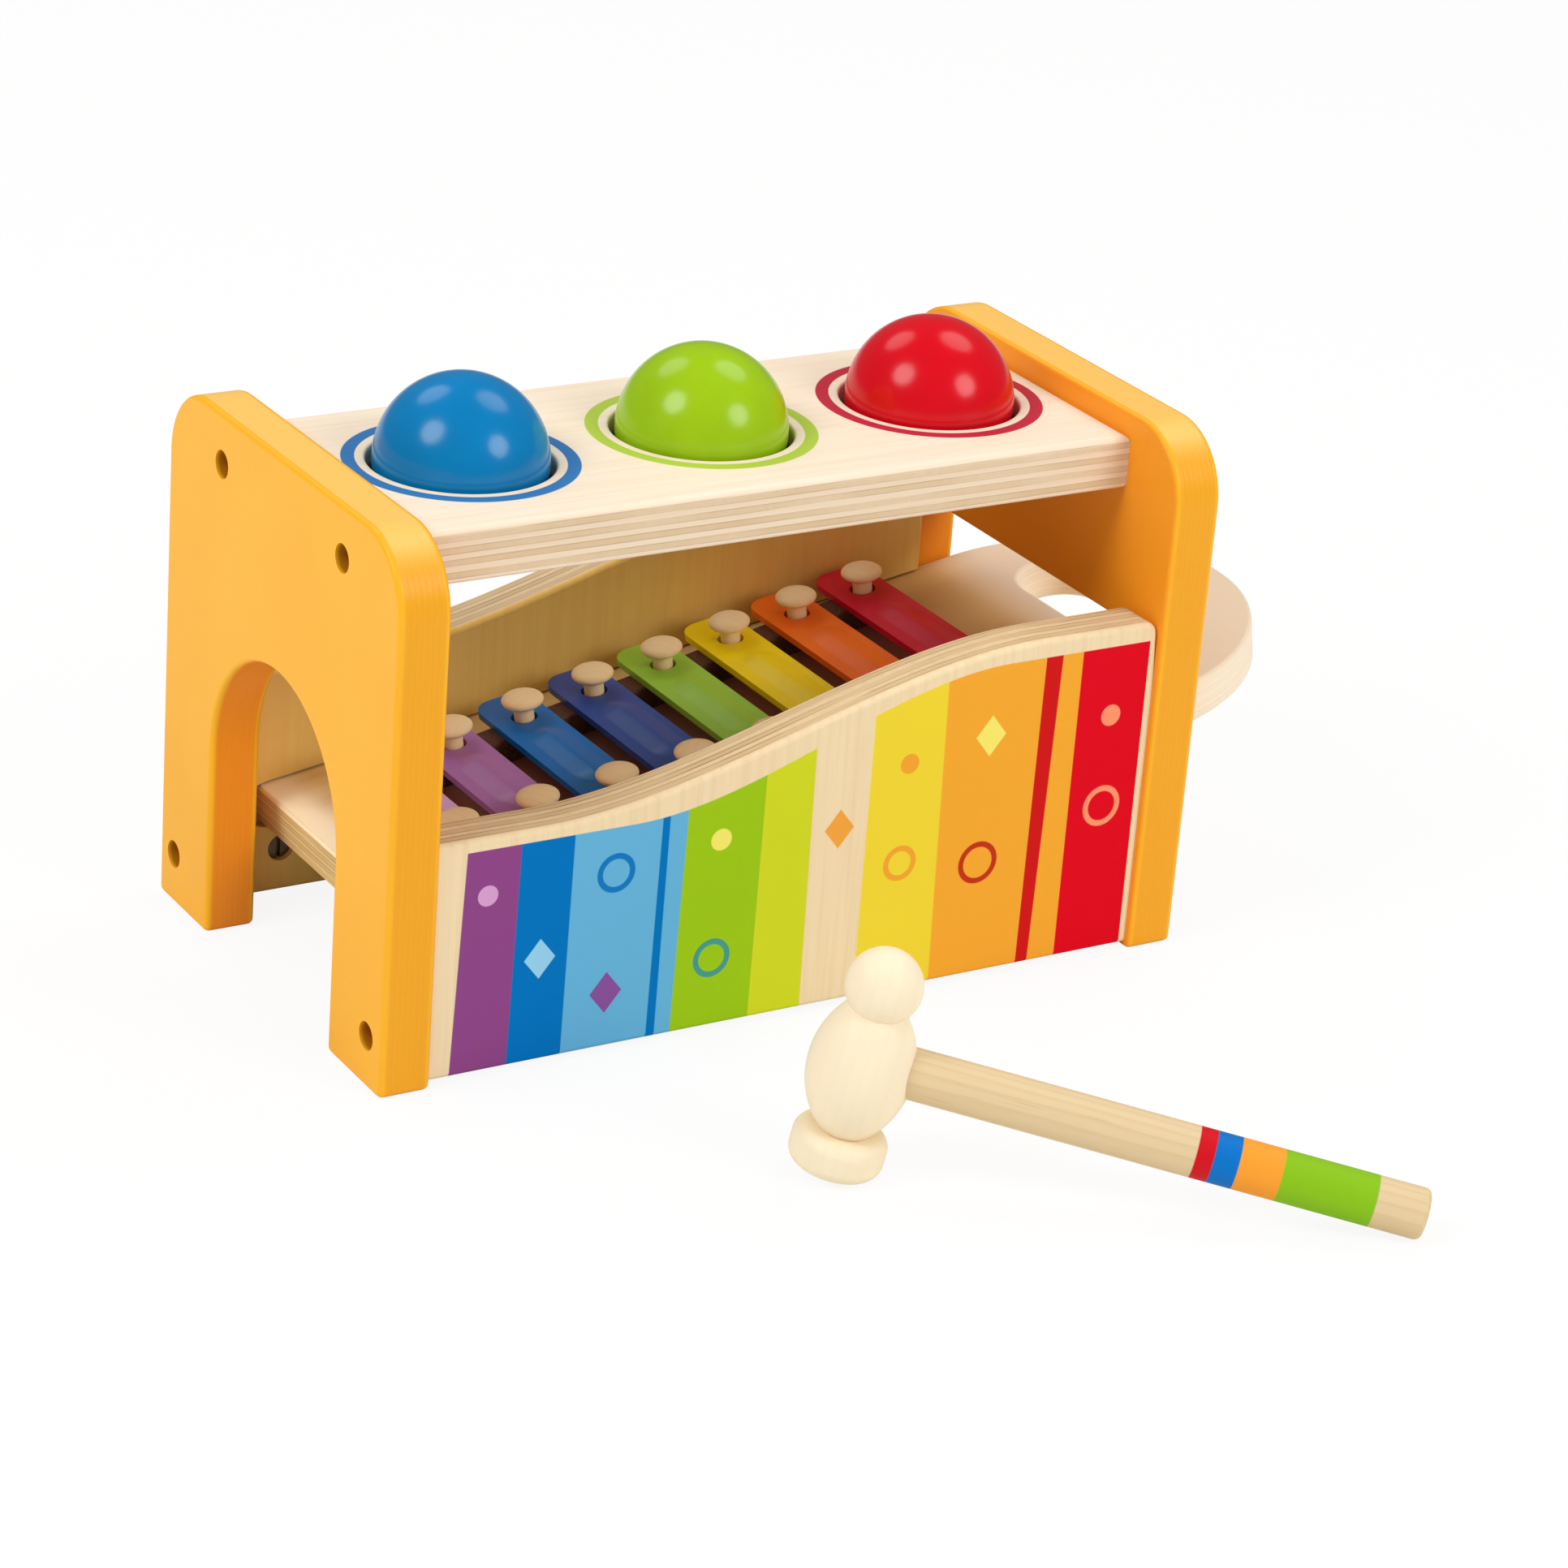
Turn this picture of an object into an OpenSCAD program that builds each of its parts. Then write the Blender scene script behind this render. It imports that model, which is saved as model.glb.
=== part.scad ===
// Peg pounding bench: two painted end panels carry a plywood plank with three ball holes.
// Balls knocked through the plank land on a sloping xylophone, roll down it and leave by the arch.
// The xylophone slides out through the right end panel, and a turned mallet lies in front.
// The bench stands at z = 0 with its footprint centred on the origin.
// X runs along the bench, Y from front to back and Z up. All lengths are in millimetres.

/* [Bench] */
// Length over the two end panels
bench_l = 238; // [225:1:250]

/* [End panels] */
// Depth of an end panel, front to back
end_w = 131.6; // [126:0.2:140]
// Height of an end panel
end_h = 145; // [140:1:155]
// Thickness of an end panel
end_t = 14; // [12:0.5:16]
// Radius of an end panel's two top corners
end_corner_r = 18; // [10:1:25]
// Width of the arch in the left end panel
arch_w = 72.4; // [60:0.2:84]
// Height of the arch at its crown
arch_h = 88.6; // [75:0.2:95]
// Height of the top edge of the window in the right end panel
window_top_z = 88.6; // [84:0.2:100]
// Gap under the xylophone board at the window's sill
window_sill_gap = 2; // [1:0.5:4]
// Gap between the xylophone board and each side of the window
window_side_gap = 0.8; // [0.5:0.1:1.2]
// Radius of the window's corners
window_corner_r = 4; // [2:0.5:6]

/* [Top plank] */
// Depth of the plank, front to back
plank_w = 86; // [80:1:100]
// Thickness of the plank
plank_t = 14.5; // [13:0.5:16]
// Drop of the plank's top below the end panels' tops
plank_drop = 6; // [4:0.5:9]
// Wood between an outer ball hole and the end panel beside it
hole_margin = 11.5; // [9:0.5:19]
// Gap all round a ball in its hole
hole_gap = 1.5; // [1.2:0.1:1.8]

/* [Balls] */
// Diameter of a ball
ball_d = 45; // [44:0.5:48]
// Thickness of the rubber ring that holds a ball
ring_section_d = 5; // [4.5:0.1:5.5]

/* [Side panels] */
// Thickness of the front and back panels
side_t = 13.5; // [12:0.5:15]
// Setback of a side panel from the end panels' edges
side_setback = 1.8; // [0.5:0.1:3]
// Gap between a side panel and the floor
side_lift = 1.4; // [1:0.2:4]
// Height of a side panel's top edge at its low end
side_low_z = 65.7; // [60:0.1:70]
// Height of a side panel's top edge at its high end
side_high_z = 94.5; // [85:0.5:100]
// Distance from the low end to where the top edge starts to rise
rise_start = 29; // [20:1:40]
// Distance from the high end to where the top edge stops rising
rise_end = 34; // [25:1:45]
// Radius of the top corner at the high end
side_corner_r = 3.5; // [2:0.5:8]
// Depth of the groove that guides the xylophone board
groove_depth = 3.6; // [2:0.1:4.5]

/* [Xylophone board] */
// Thickness of the board
board_t = 12; // [10:0.5:13]
// Slope of the board in degrees
board_slope = 9.34; // [8:0.02:10]
// Height of the board's top face at the middle of the bench
board_mid_z = 49.1; // [46:0.1:52]
// Gap between the board's low end and the left end panel
board_end_gap = 6.8; // [5:0.2:10]
// Reach of the board's round end past the right end panel
board_out = 52; // [48:1:60]
// Width of the finger slot
slot_w = 22.8; // [18:0.2:25]
// Length of the finger slot, front to back
slot_l = 68; // [50:1:76]
// Width of the grip between the finger slot and the board's end
slot_edge = 26; // [20:0.5:27]

/* [Keys] */
// Width of a key
key_w = 14.8; // [14:0.2:18]
// Thickness of a key
key_t = 2; // [1.5:0.1:3]
// Distance between neighbouring keys
key_pitch = 22.2; // [20:0.2:23]
// Gap between the longest key and each side panel
key_side_gap = 1.3; // [1:0.1:5]
// How much shorter each key is than the one before it
key_step = 3.6; // [2:0.1:5]
// Distance from the right end panel to the first key's middle
key_first_gap = 26.9; // [22:0.1:30]
// Radius of a key's corners
key_corner_r = 5.5; // [2:0.1:6.5]
// Width of the raised crown along a key
crown_w = 10; // [6:0.5:12]
// Height of the crown above the key
crown_h = 1.2; // [0.6:0.1:1.5]
// Length of the crown, as a share of the distance between a key's pegs
crown_share = 0.67; // [0.5:0.01:0.75]

/* [Pegs] */
// Diameter of a peg's head
peg_head_d = 11.4; // [10:0.2:13]
// Diameter of a peg's stem
peg_stem_d = 5.4; // [4.5:0.1:6.5]
// Distance from a peg to the end of its key
peg_end = 14.3; // [12:0.1:16]
// Gap between a key and the underside of the heads
peg_play = 3.4; // [2:0.1:5]
// Height of a head's round underside, from the stem to its widest part
peg_under_h = 1.8; // [1:0.1:3]
// Height of a head above its widest part
peg_cap_h = 2; // [1.5:0.1:3]
// Depth of a peg in the board
peg_depth = 6; // [4:0.5:6.5]
// Gap all round a stem in its key
peg_key_gap = 0.9; // [0.4:0.1:1.2]

/* [Felt rails] */
// Thickness of a felt rail under the keys
felt_t = 7; // [5:0.5:8]
// Width of a felt rail
felt_w = 9; // [7.5:0.5:11]
// Reach of a felt rail past the outermost pegs
felt_over = 8.5; // [6:0.5:10]

/* [Hardware] */
// Diameter of a bolt's shank
bolt_d = 4; // [3.5:0.5:5]
// Diameter of a bolt's head
bolt_head_d = 7; // [6:0.1:7.6]
// Height of a bolt's head
bolt_head_h = 4; // [3:0.5:5]
// Width across the flats of a bolt's hexagon socket
bolt_key_w = 3; // [2:0.5:3.5]
// Depth of a bolt's hexagon socket
bolt_key_h = 2; // [1:0.5:2.5]
// Depth of a bolt's head below the end panel's face
bolt_recess = 4; // [3:0.5:5]
// Distance of the upper bolts from the bench's centre line
bolt_upper_y = 34.3; // [28:0.1:38]
// Height of the lower bolts
bolt_lower_z = 14; // [10:0.5:18]
// Diameter of a barrel nut
nut_d = 7.4; // [7:0.2:9]
// Length of a barrel nut
nut_l = 10; // [8:0.5:10.5]
// Distance of a barrel nut from the end of its board
nut_set = 14; // [11:0.1:16]
// Width of the screwdriver slot in a barrel nut
nut_slot_w = 1.2; // [0.8:0.1:1.6]
// Depth of the screwdriver slot in a barrel nut
nut_slot_h = 1.2; // [0.8:0.1:1.6]

/* [Mallet] */
// Diameter of the head's ball
mallet_ball_d = 19.1; // [17:0.1:21]
// Height of the ball's middle above the handle's axis
mallet_ball_z = 20.6; // [20:0.1:22]
// Largest diameter of the head's body
mallet_body_d = 26.4; // [24:0.2:28]
// Radius of the bow along the head's body
mallet_bow_r = 25; // [24:0.5:30]
// Depth of the body's widest part below the handle's axis
mallet_body_low = 2; // [1.5:0.1:3]
// Depth of the crease between the body and the ball, below the ball's middle
mallet_crease_drop = 6.3; // [6:0.1:7.5]
// Diameter of the head's foot
mallet_foot_d = 23.8; // [22:0.2:26]
// Thickness of the foot
mallet_foot_t = 10.4; // [9:0.1:12]
// Distance from the handle's axis to the foot's underside
mallet_foot_z = 29.4; // [28:0.1:31]
// Radius of the foot's edges
mallet_foot_r = 3.4; // [2:0.1:4]
// Diameter of the handle
handle_d = 12.9; // [10:0.1:14]
// Distance from the head's axis to the handle's end
handle_reach = 140.4; // [120:0.2:150]
// Distance from the head's axis to the handle's inner end
handle_in = 4; // [2:0.5:6]
// Radius of the handle's outer edge
handle_edge_r = 1.6; // [1:0.1:3]
// Place of the head along the bench
mallet_x = -29.3; // [-60:0.1:0]
// Place of the head in front of the bench's centre line
mallet_y = -143.3; // [-170:0.1:-120]
// Turn of the handle from the bench's length, in degrees
mallet_turn = -36.9; // [-60:0.1:-20]

/* [Clearances] */
// Gap between the xylophone board and its grooves
slide_gap = 0.3; // [0.2:0.05:0.5]
// Gap between the board's low end and the round end of its grooves
stop_gap = 0.3; // [0.2:0.05:0.5]
// Gap between a resting ball and its ring
ball_gap = 0.25; // [0.2:0.05:0.4]
// Gap between a ring and its groove
ring_gap = 0.15; // [0.1:0.05:0.3]
// Gap all round a bolt in its holes
bolt_gap = 0.25; // [0.2:0.05:0.4]
// Gap between a bolt and the thread of its nut
thread_gap = 0.05; // [0.03:0.01:0.1]
// Gap all round a barrel nut in its hole
nut_gap = 0.1; // [0.05:0.05:0.2]
// Gap all round a peg in the board, and a handle in its head
press_gap = 0.05; // [0.03:0.01:0.1]

/* [Hidden] */
$fn = 96;
overrun = 1;
curve_steps = 28;
arc_steps = 14;

KEY_COLOURS = ["red", "orange", "yellow", "green", "navy", "blue", "purple", "lilac"];
KEY_PAINTS = ["#a8142d", "#e15f28", "#d7be0a", "#5aa54b", "#2d4182", "#005fa5", "#8c3c96", "#be8cbe"];
BALL_COLOURS = ["blue", "green", "red"];
BALL_PAINTS = ["#0078be", "#a0c819", "#e10a1e"];
END_PAINT = "#fab942";
PLY = "#f0dcbe";
TURNED_WOOD = "#f3e4c6";
STEEL = "#b8b8bc";
FELT = "#6e4c3c";
RUBBER = "#3a3633";
key_count = len(KEY_COLOURS);

// Where the boards lie
inner_l = bench_l - 2*end_t;
plank_top_z = end_h - plank_drop;
plank_mid_z = plank_top_z - plank_t/2;
side_outer_y = end_w/2 - side_setback;
side_inner_y = side_outer_y - side_t;
side_mid_y = side_outer_y - side_t/2;
arch_spring_z = arch_h - arch_w/2;

// The balls, their holes and the rings that hold them
hole_r = ball_d/2 + hole_gap;
hole_pitch = (inner_l/2 - hole_margin - hole_r)/((len(BALL_COLOURS) - 1)/2);
ring_reach = ball_d/2 + ring_section_d/2 + ball_gap;
ring_depth = sqrt(ring_reach*ring_reach - hole_r*hole_r);

// The xylophone board, in its own plane: u along the slope, y across it and w out of its top face
board_w = 2*(side_inner_y + groove_depth - slide_gap);
board_low_u = (board_end_gap - inner_l/2)/cos(board_slope);
board_tip_u = (bench_l/2 + board_out)/cos(board_slope);
board_round_u = board_tip_u - board_w/2;
slot_mid_u = board_tip_u - slot_edge - slot_w/2;
groove_r = board_t/2 + slide_gap;
groove_end_u = board_low_u + sqrt(groove_r*groove_r - board_t*board_t/4) - stop_gap;
window_w = board_w + 2*window_side_gap;
window_sill_z = board_mid_z + inner_l/2*tan(board_slope) - board_t/cos(board_slope) - window_sill_gap;

// The keys, counted from the longest one at the high end
key_first_u = (inner_l/2 - key_first_gap)/cos(board_slope);
function key_u(i) = key_first_u - i*key_pitch;
key_longest = 2*(side_inner_y - key_side_gap);
function key_l(i) = key_longest - i*key_step;
function peg_y(i) = key_l(i)/2 - peg_end;
peg_hole_d = peg_stem_d + 2*press_gap;
peg_head_w = felt_t + key_t + peg_play;
row_angle = atan2(peg_y(0) - peg_y(key_count - 1), key_u(0) - key_u(key_count - 1));
row_l = norm([key_u(0) - key_u(key_count - 1), peg_y(0) - peg_y(key_count - 1)]);
crown_r = (crown_w*crown_w/4 + crown_h*crown_h)/(2*crown_h);

// The bolts, by their places on an end panel
bolt_hole_d = bolt_d + 2*bolt_gap;
bolt_sink_d = bolt_head_d + 2*bolt_gap;
bolt_seat = bolt_recess + bolt_head_h;
nut_depth = end_t + nut_set;
bolt_l = nut_depth + nut_d/2 + bolt_gap - bolt_seat;
BOLT_PLACES = [
    [bolt_upper_y, plank_mid_z],
    [-bolt_upper_y, plank_mid_z],
    [side_mid_y, bolt_lower_z],
    [-side_mid_y, bolt_lower_z]
];

// The mallet leans until its foot and its handle's end both touch the floor
foot_arm = mallet_foot_z - mallet_foot_r;
foot_reach = mallet_foot_d/2 - mallet_foot_r;
lean_rise = foot_arm - (handle_d/2 - handle_edge_r);
lean_run = handle_reach - handle_edge_r - foot_reach;
lean_edge = mallet_foot_r - handle_edge_r;
mallet_lean = acos(-lean_edge/norm([lean_rise, lean_run])) - atan2(lean_run, lean_rise);
mallet_z = foot_arm*cos(mallet_lean) + foot_reach*sin(mallet_lean) + mallet_foot_r;

// Shapes that several pieces share

module rounded_rect(size, r) {
    square([size[0] - 2*r, size[1]], center = true);
    square([size[0], size[1] - 2*r], center = true);
    for (x = [-1, 1], y = [-1, 1])
        translate([x*(size[0]/2 - r), y*(size[1]/2 - r)]) circle(r = r);
}

// Stands a drawing of the Y-Z plane up and gives it a thickness along X
module upright(t) {
    rotate([90, 0, 90]) linear_extrude(t) children();
}

module along_x() {
    rotate([0, 90, 0]) children();
}

module along_y() {
    rotate([-90, 0, 0]) children();
}

// Lays a piece on the sloping board, with u along X and w along Z
module on_board() {
    translate([0, 0, board_mid_z]) rotate([0, -board_slope, 0]) children();
}

// Mirrors what is drawn at the left end for the right end
module at_end(right) {
    mirror([right ? 1 : 0, 0, 0]) translate([-bench_l/2, 0, 0]) children();
}

module at_balls() {
    for (i = [0 : len(BALL_COLOURS) - 1]) translate([ball_x(i), 0, 0]) children();
}

function ball_x(i) = (i - (len(BALL_COLOURS) - 1)/2)*hole_pitch;

// End panels

module end_outline() {
    translate([-end_w/2, 0]) square([end_w, end_h - end_corner_r]);
    translate([end_corner_r - end_w/2, 0]) square([end_w - 2*end_corner_r, end_h]);
    for (y = [-1, 1])
        translate([y*(end_w/2 - end_corner_r), end_h - end_corner_r]) circle(r = end_corner_r);
}

module arch_outline() {
    translate([-arch_w/2, -overrun]) square([arch_w, arch_spring_z + overrun]);
    translate([0, arch_spring_z]) circle(d = arch_w);
}

module window_outline() {
    window_h = window_top_z - window_sill_z;
    translate([0, window_sill_z + window_h/2]) rounded_rect([window_w, window_h], window_corner_r);
}

// Stepped holes for the four bolts, from the panel's outer face
module end_bolt_holes() {
    for (p = BOLT_PLACES)
        translate([0, p[0], p[1]]) along_x() {
            translate([0, 0, -overrun]) cylinder(d = bolt_sink_d, h = bolt_seat + overrun);
            translate([0, 0, -overrun]) cylinder(d = bolt_hole_d, h = end_t + 2*overrun);
        }
}

module left_end_panel() {
    color(END_PAINT) at_end(false) difference() {
        upright(end_t) difference() {
            end_outline();
            arch_outline();
        }
        end_bolt_holes();
    }
}

module right_end_panel() {
    color(END_PAINT) at_end(true) difference() {
        upright(end_t) difference() {
            end_outline();
            window_outline();
        }
        end_bolt_holes();
    }
}

// Holes at one end of a board for its bolt and the barrel nut that crosses it
module bolt_bore() {
    along_x() cylinder(d = bolt_hole_d, h = bolt_seat + bolt_l + overrun);
}

module nut_bore(depth) {
    translate([nut_depth, 0, 0]) cylinder(d = nut_d + 2*nut_gap, h = depth + overrun);
}

// Top plank

module ring_groove() {
    rotate_extrude() translate([hole_r, 0]) circle(d = ring_section_d + 2*ring_gap);
}

module top_plank() {
    color(PLY) difference() {
        translate([-inner_l/2, -plank_w/2, plank_top_z - plank_t]) cube([inner_l, plank_w, plank_t]);
        at_balls() {
            translate([0, 0, plank_top_z - plank_t - overrun])
                cylinder(r = hole_r, h = plank_t + 2*overrun);
            translate([0, 0, plank_top_z - ring_depth]) ring_groove();
        }
        for (right = [false, true], y = [-1, 1])
            at_end(right) translate([0, y*bolt_upper_y, plank_mid_z]) {
                bolt_bore();
                translate([0, 0, nut_l/2]) mirror([0, 0, 1]) nut_bore(plank_t/2 + nut_l/2);
            }
    }
}

// Side panels

function ease(s) = s*s*(3 - 2*s);
rise_l = inner_l - rise_start - rise_end;
function rise_point(s) = [
    rise_start - inner_l/2 + s*rise_l,
    side_low_z + ease(s)*(side_high_z - side_low_z)
];

module side_outline() {
    corner = [inner_l/2 - side_corner_r, side_high_z - side_corner_r];
    polygon(concat(
        [[-inner_l/2, side_lift], [-inner_l/2, side_low_z]],
        [for (k = [0 : curve_steps]) rise_point(k/curve_steps)],
        [for (k = [0 : arc_steps]) corner + side_corner_r*[sin(90*k/arc_steps), cos(90*k/arc_steps)]],
        [[inner_l/2, side_lift]]
    ));
}

// The groove for the xylophone board starts at a round end and runs out of the high end
module board_groove() {
    groove_w = side_inner_y + groove_depth;
    on_board() translate([groove_end_u, 0, -board_t/2]) {
        along_y() cylinder(r = groove_r, h = groove_w);
        translate([0, 0, -groove_r]) cube([board_tip_u - groove_end_u, groove_w, 2*groove_r]);
    }
}

// The back panel; the front one is its mirror image
module side_panel() {
    color(PLY) difference() {
        translate([0, side_outer_y, 0]) rotate([90, 0, 0]) linear_extrude(side_t) side_outline();
        board_groove();
        for (right = [false, true])
            at_end(right) translate([0, side_mid_y, bolt_lower_z]) {
                bolt_bore();
                translate([0, nut_l/2, 0]) rotate([90, 0, 0]) nut_bore(side_t/2 + nut_l/2);
            }
    }
}

module back_panel() {
    side_panel();
}

module front_panel() {
    mirror([0, 1, 0]) side_panel();
}

// Bolts and barrel nuts, four to an end

module bolt() {
    color(STEEL) along_x() difference() {
        union() {
            translate([0, 0, bolt_recess]) cylinder(d = bolt_head_d, h = bolt_head_h);
            translate([0, 0, bolt_seat]) cylinder(d = bolt_d, h = bolt_l);
        }
        translate([0, 0, bolt_recess - overrun])
            cylinder(d = bolt_key_w/cos(30), h = bolt_key_h + overrun, $fn = 6);
    }
}

module end_bolts(right) {
    at_end(right) for (p = BOLT_PLACES) translate([0, p[0], p[1]]) bolt();
}

// Stands along Z, slotted on the end that shows
module barrel_nut() {
    color(STEEL) difference() {
        cylinder(d = nut_d, h = nut_l, center = true);
        along_x() cylinder(d = bolt_d + 2*thread_gap, h = nut_d + 2*overrun, center = true);
        translate([-nut_slot_w/2, -nut_d/2 - overrun, -nut_l/2 - overrun])
            cube([nut_slot_w, nut_d + 2*overrun, nut_slot_h + overrun]);
    }
}

module barrel_nuts(right) {
    at_end(right) for (y = [-1, 1]) {
        translate([nut_depth, y*bolt_upper_y, plank_mid_z]) barrel_nut();
        translate([nut_depth, y*side_mid_y, bolt_lower_z]) rotate([-90*y, 0, 0]) barrel_nut();
    }
}

// Balls and the rubber rings that hold them

module ball(i) {
    color(BALL_PAINTS[i]) translate([ball_x(i), 0, plank_top_z]) sphere(d = ball_d);
}

module ball_ring(i) {
    color(RUBBER) translate([ball_x(i), 0, plank_top_z - ring_depth])
        rotate_extrude() translate([hole_r, 0]) circle(d = ring_section_d);
}

// Xylophone

module board_outline() {
    translate([board_low_u, -board_w/2]) square([board_round_u - board_low_u, board_w]);
    translate([board_round_u, 0]) circle(d = board_w);
}

module at_pegs(side) {
    for (i = [0 : key_count - 1]) translate([key_u(i), side*peg_y(i), 0]) children();
}

module xylophone_board() {
    color(PLY) on_board() difference() {
        translate([0, 0, -board_t]) linear_extrude(board_t) difference() {
            board_outline();
            translate([slot_mid_u, 0]) rotate(90) {
                square([slot_l - slot_w, slot_w], center = true);
                for (x = [-1, 1]) translate([x*(slot_l - slot_w)/2, 0]) circle(d = slot_w);
            }
        }
        for (side = [-1, 1])
            at_pegs(side) translate([0, 0, -peg_depth]) cylinder(d = peg_hole_d, h = peg_depth + overrun);
    }
}

module felt_rail(side) {
    row_mid_u = (key_u(0) + key_u(key_count - 1))/2;
    row_mid_y = (peg_y(0) + peg_y(key_count - 1))/2;
    color(FELT) on_board() difference() {
        translate([row_mid_u, side*row_mid_y, 0]) rotate(side*row_angle) linear_extrude(felt_t)
            square([row_l + 2*felt_over, felt_w], center = true);
        at_pegs(side) translate([0, 0, -overrun]) cylinder(d = peg_hole_d, h = felt_t + 2*overrun);
    }
}

module xylophone_key(i) {
    crown_l = 2*peg_y(i)*crown_share;
    color(KEY_PAINTS[i]) on_board() translate([key_u(i), 0, felt_t]) {
        linear_extrude(key_t) difference() {
            rounded_rect([key_w, key_l(i)], key_corner_r);
            for (side = [-1, 1]) translate([0, side*peg_y(i)]) circle(d = peg_stem_d + 2*peg_key_gap);
        }
        intersection() {
            translate([0, -crown_l/2, key_t + crown_h - crown_r]) along_y() cylinder(r = crown_r, h = crown_l);
            translate([-crown_w/2, -crown_l/2, key_t/2]) cube([crown_w, crown_l, key_t/2 + crown_h]);
        }
    }
}

module peg(i, side) {
    widest_w = peg_head_w + peg_under_h;
    head_r = peg_head_d/2;
    brim = head_r - peg_stem_d/2;
    color(TURNED_WOOD) on_board() translate([key_u(i), side*peg_y(i), 0]) rotate_extrude() polygon(concat(
        [[0, -peg_depth], [peg_stem_d/2, -peg_depth]],
        [for (a = [0 : 90/arc_steps : 90]) [peg_stem_d/2 + brim*sin(a), widest_w - peg_under_h*cos(a)]],
        [for (a = [0 : 90/arc_steps : 90]) [head_r*cos(a), widest_w + peg_cap_h*sin(a)]]
    ));
}

// Mallet

// Puts a piece of the mallet on the floor; the head stands along Z and the handle points along X
module lay_mallet() {
    translate([mallet_x, mallet_y, mallet_z]) rotate([0, mallet_lean, mallet_turn]) children();
}

// Points of a quarter turn about a centre, from one angle to another
function arc(centre, r, from, to) = [
    for (k = [0 : arc_steps]) let (a = from + (to - from)*k/arc_steps) centre + r*[cos(a), sin(a)]
];

module head_profile() {
    foot_low = -mallet_foot_z;
    foot_top = foot_low + mallet_foot_t;
    crease_z = mallet_ball_z - mallet_crease_drop;
    bow = [mallet_body_d/2 - mallet_bow_r, -mallet_body_low];
    polygon(concat(
        [[0, foot_low]],
        arc([foot_reach, foot_low + mallet_foot_r], mallet_foot_r, -90, 0),
        arc([foot_reach, foot_top - mallet_foot_r], mallet_foot_r, 0, 90),
        arc(bow, mallet_bow_r, asin((foot_top - bow[1])/mallet_bow_r), asin((crease_z - bow[1])/mallet_bow_r)),
        arc([0, mallet_ball_z], mallet_ball_d/2, asin((crease_z - mallet_ball_z)*2/mallet_ball_d), 90)
    ));
}

module mallet_head() {
    color(TURNED_WOOD) lay_mallet() difference() {
        rotate_extrude() head_profile();
        translate([handle_in - press_gap, 0, 0]) along_x() cylinder(d = handle_d + 2*press_gap, h = mallet_body_d);
    }
}

module mallet_handle() {
    color(TURNED_WOOD) lay_mallet() along_x() rotate_extrude() polygon(concat(
        [[0, handle_in], [handle_d/2, handle_in]],
        arc([handle_d/2 - handle_edge_r, handle_reach - handle_edge_r], handle_edge_r, 0, 90),
        [[0, handle_reach]]
    ));
}

left_end_panel();
right_end_panel();
top_plank();
front_panel();
back_panel();
end_bolts(false);  // left_end_bolts
end_bolts(true);  // right_end_bolts
barrel_nuts(false);  // left_barrel_nuts
barrel_nuts(true);  // right_barrel_nuts
for (i = [0 : len(BALL_COLOURS) - 1]) {
    ball(i);
    ball_ring(i);
}
xylophone_board();
felt_rail(1);  // back_felt_rail
felt_rail(-1);  // front_felt_rail
for (i = [0 : key_count - 1]) {
    xylophone_key(i);
    peg(i, 1);
    peg(i, -1);
}
mallet_head();
mallet_handle();
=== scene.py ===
# %% [markdown]
# # A pounding bench with a slide-out xylophone
# Two painted end panels carry a plywood plank with three ball holes. A ball that is knocked
# through drops on to a sloping xylophone, rolls down over its keys and leaves by the arch.
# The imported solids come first: every piece made below takes its place from the same frame,
# in metres, so nothing has to be fitted by eye.

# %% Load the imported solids
import math

import bpy
from mathutils import Euler, Matrix, Vector


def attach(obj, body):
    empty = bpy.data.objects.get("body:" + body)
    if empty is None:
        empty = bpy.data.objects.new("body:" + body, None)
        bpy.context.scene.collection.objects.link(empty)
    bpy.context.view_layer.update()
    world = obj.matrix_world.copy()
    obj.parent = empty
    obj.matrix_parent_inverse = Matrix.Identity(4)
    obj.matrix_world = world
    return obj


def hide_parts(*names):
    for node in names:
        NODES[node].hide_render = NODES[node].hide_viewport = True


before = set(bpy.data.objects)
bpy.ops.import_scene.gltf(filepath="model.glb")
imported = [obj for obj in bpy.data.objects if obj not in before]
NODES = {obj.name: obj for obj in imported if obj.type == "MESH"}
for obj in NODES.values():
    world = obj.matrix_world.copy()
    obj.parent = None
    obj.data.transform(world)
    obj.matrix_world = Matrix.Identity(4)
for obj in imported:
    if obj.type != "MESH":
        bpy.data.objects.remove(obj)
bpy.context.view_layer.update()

# %% [markdown]
# ## Working as by hand
# An operator acts on everything that is selected, so each step starts by selecting nothing.
# Edges and faces are then picked by where they lie, which keeps working when a size changes.
# Sizes below are in millimetres, as on a drawing, and MM turns them into Blender's metres.

# %% Picking by place
MM = 0.001
NEAR = 0.02


def start_clean():
    """Leaves edit mode and selects nothing."""
    if bpy.context.object and bpy.context.object.mode != "OBJECT":
        bpy.ops.object.mode_set(mode="OBJECT")
    bpy.ops.object.select_all(action="DESELECT")


def take(piece):
    """Makes one piece the only thing that operators act on."""
    start_clean()
    piece.select_set(True)
    bpy.context.view_layer.objects.active = piece


def named(name):
    """Names the primitive that was just added."""
    piece = bpy.context.object
    piece.name = name
    piece.data.name = name
    return piece


def pick_edges(piece, test):
    """Goes into edit mode with the edges selected whose two ends, in millimetres, pass a test."""
    take(piece)
    bpy.context.tool_settings.mesh_select_mode = (False, True, False)
    bpy.ops.object.mode_set(mode="EDIT")
    bpy.ops.mesh.select_all(action="DESELECT")
    bpy.ops.object.mode_set(mode="OBJECT")
    points = piece.data.vertices
    for edge in piece.data.edges:
        a, b = (points[i].co / MM for i in edge.vertices)
        edge.select = bool(test(a, b))
    bpy.ops.object.mode_set(mode="EDIT")


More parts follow.
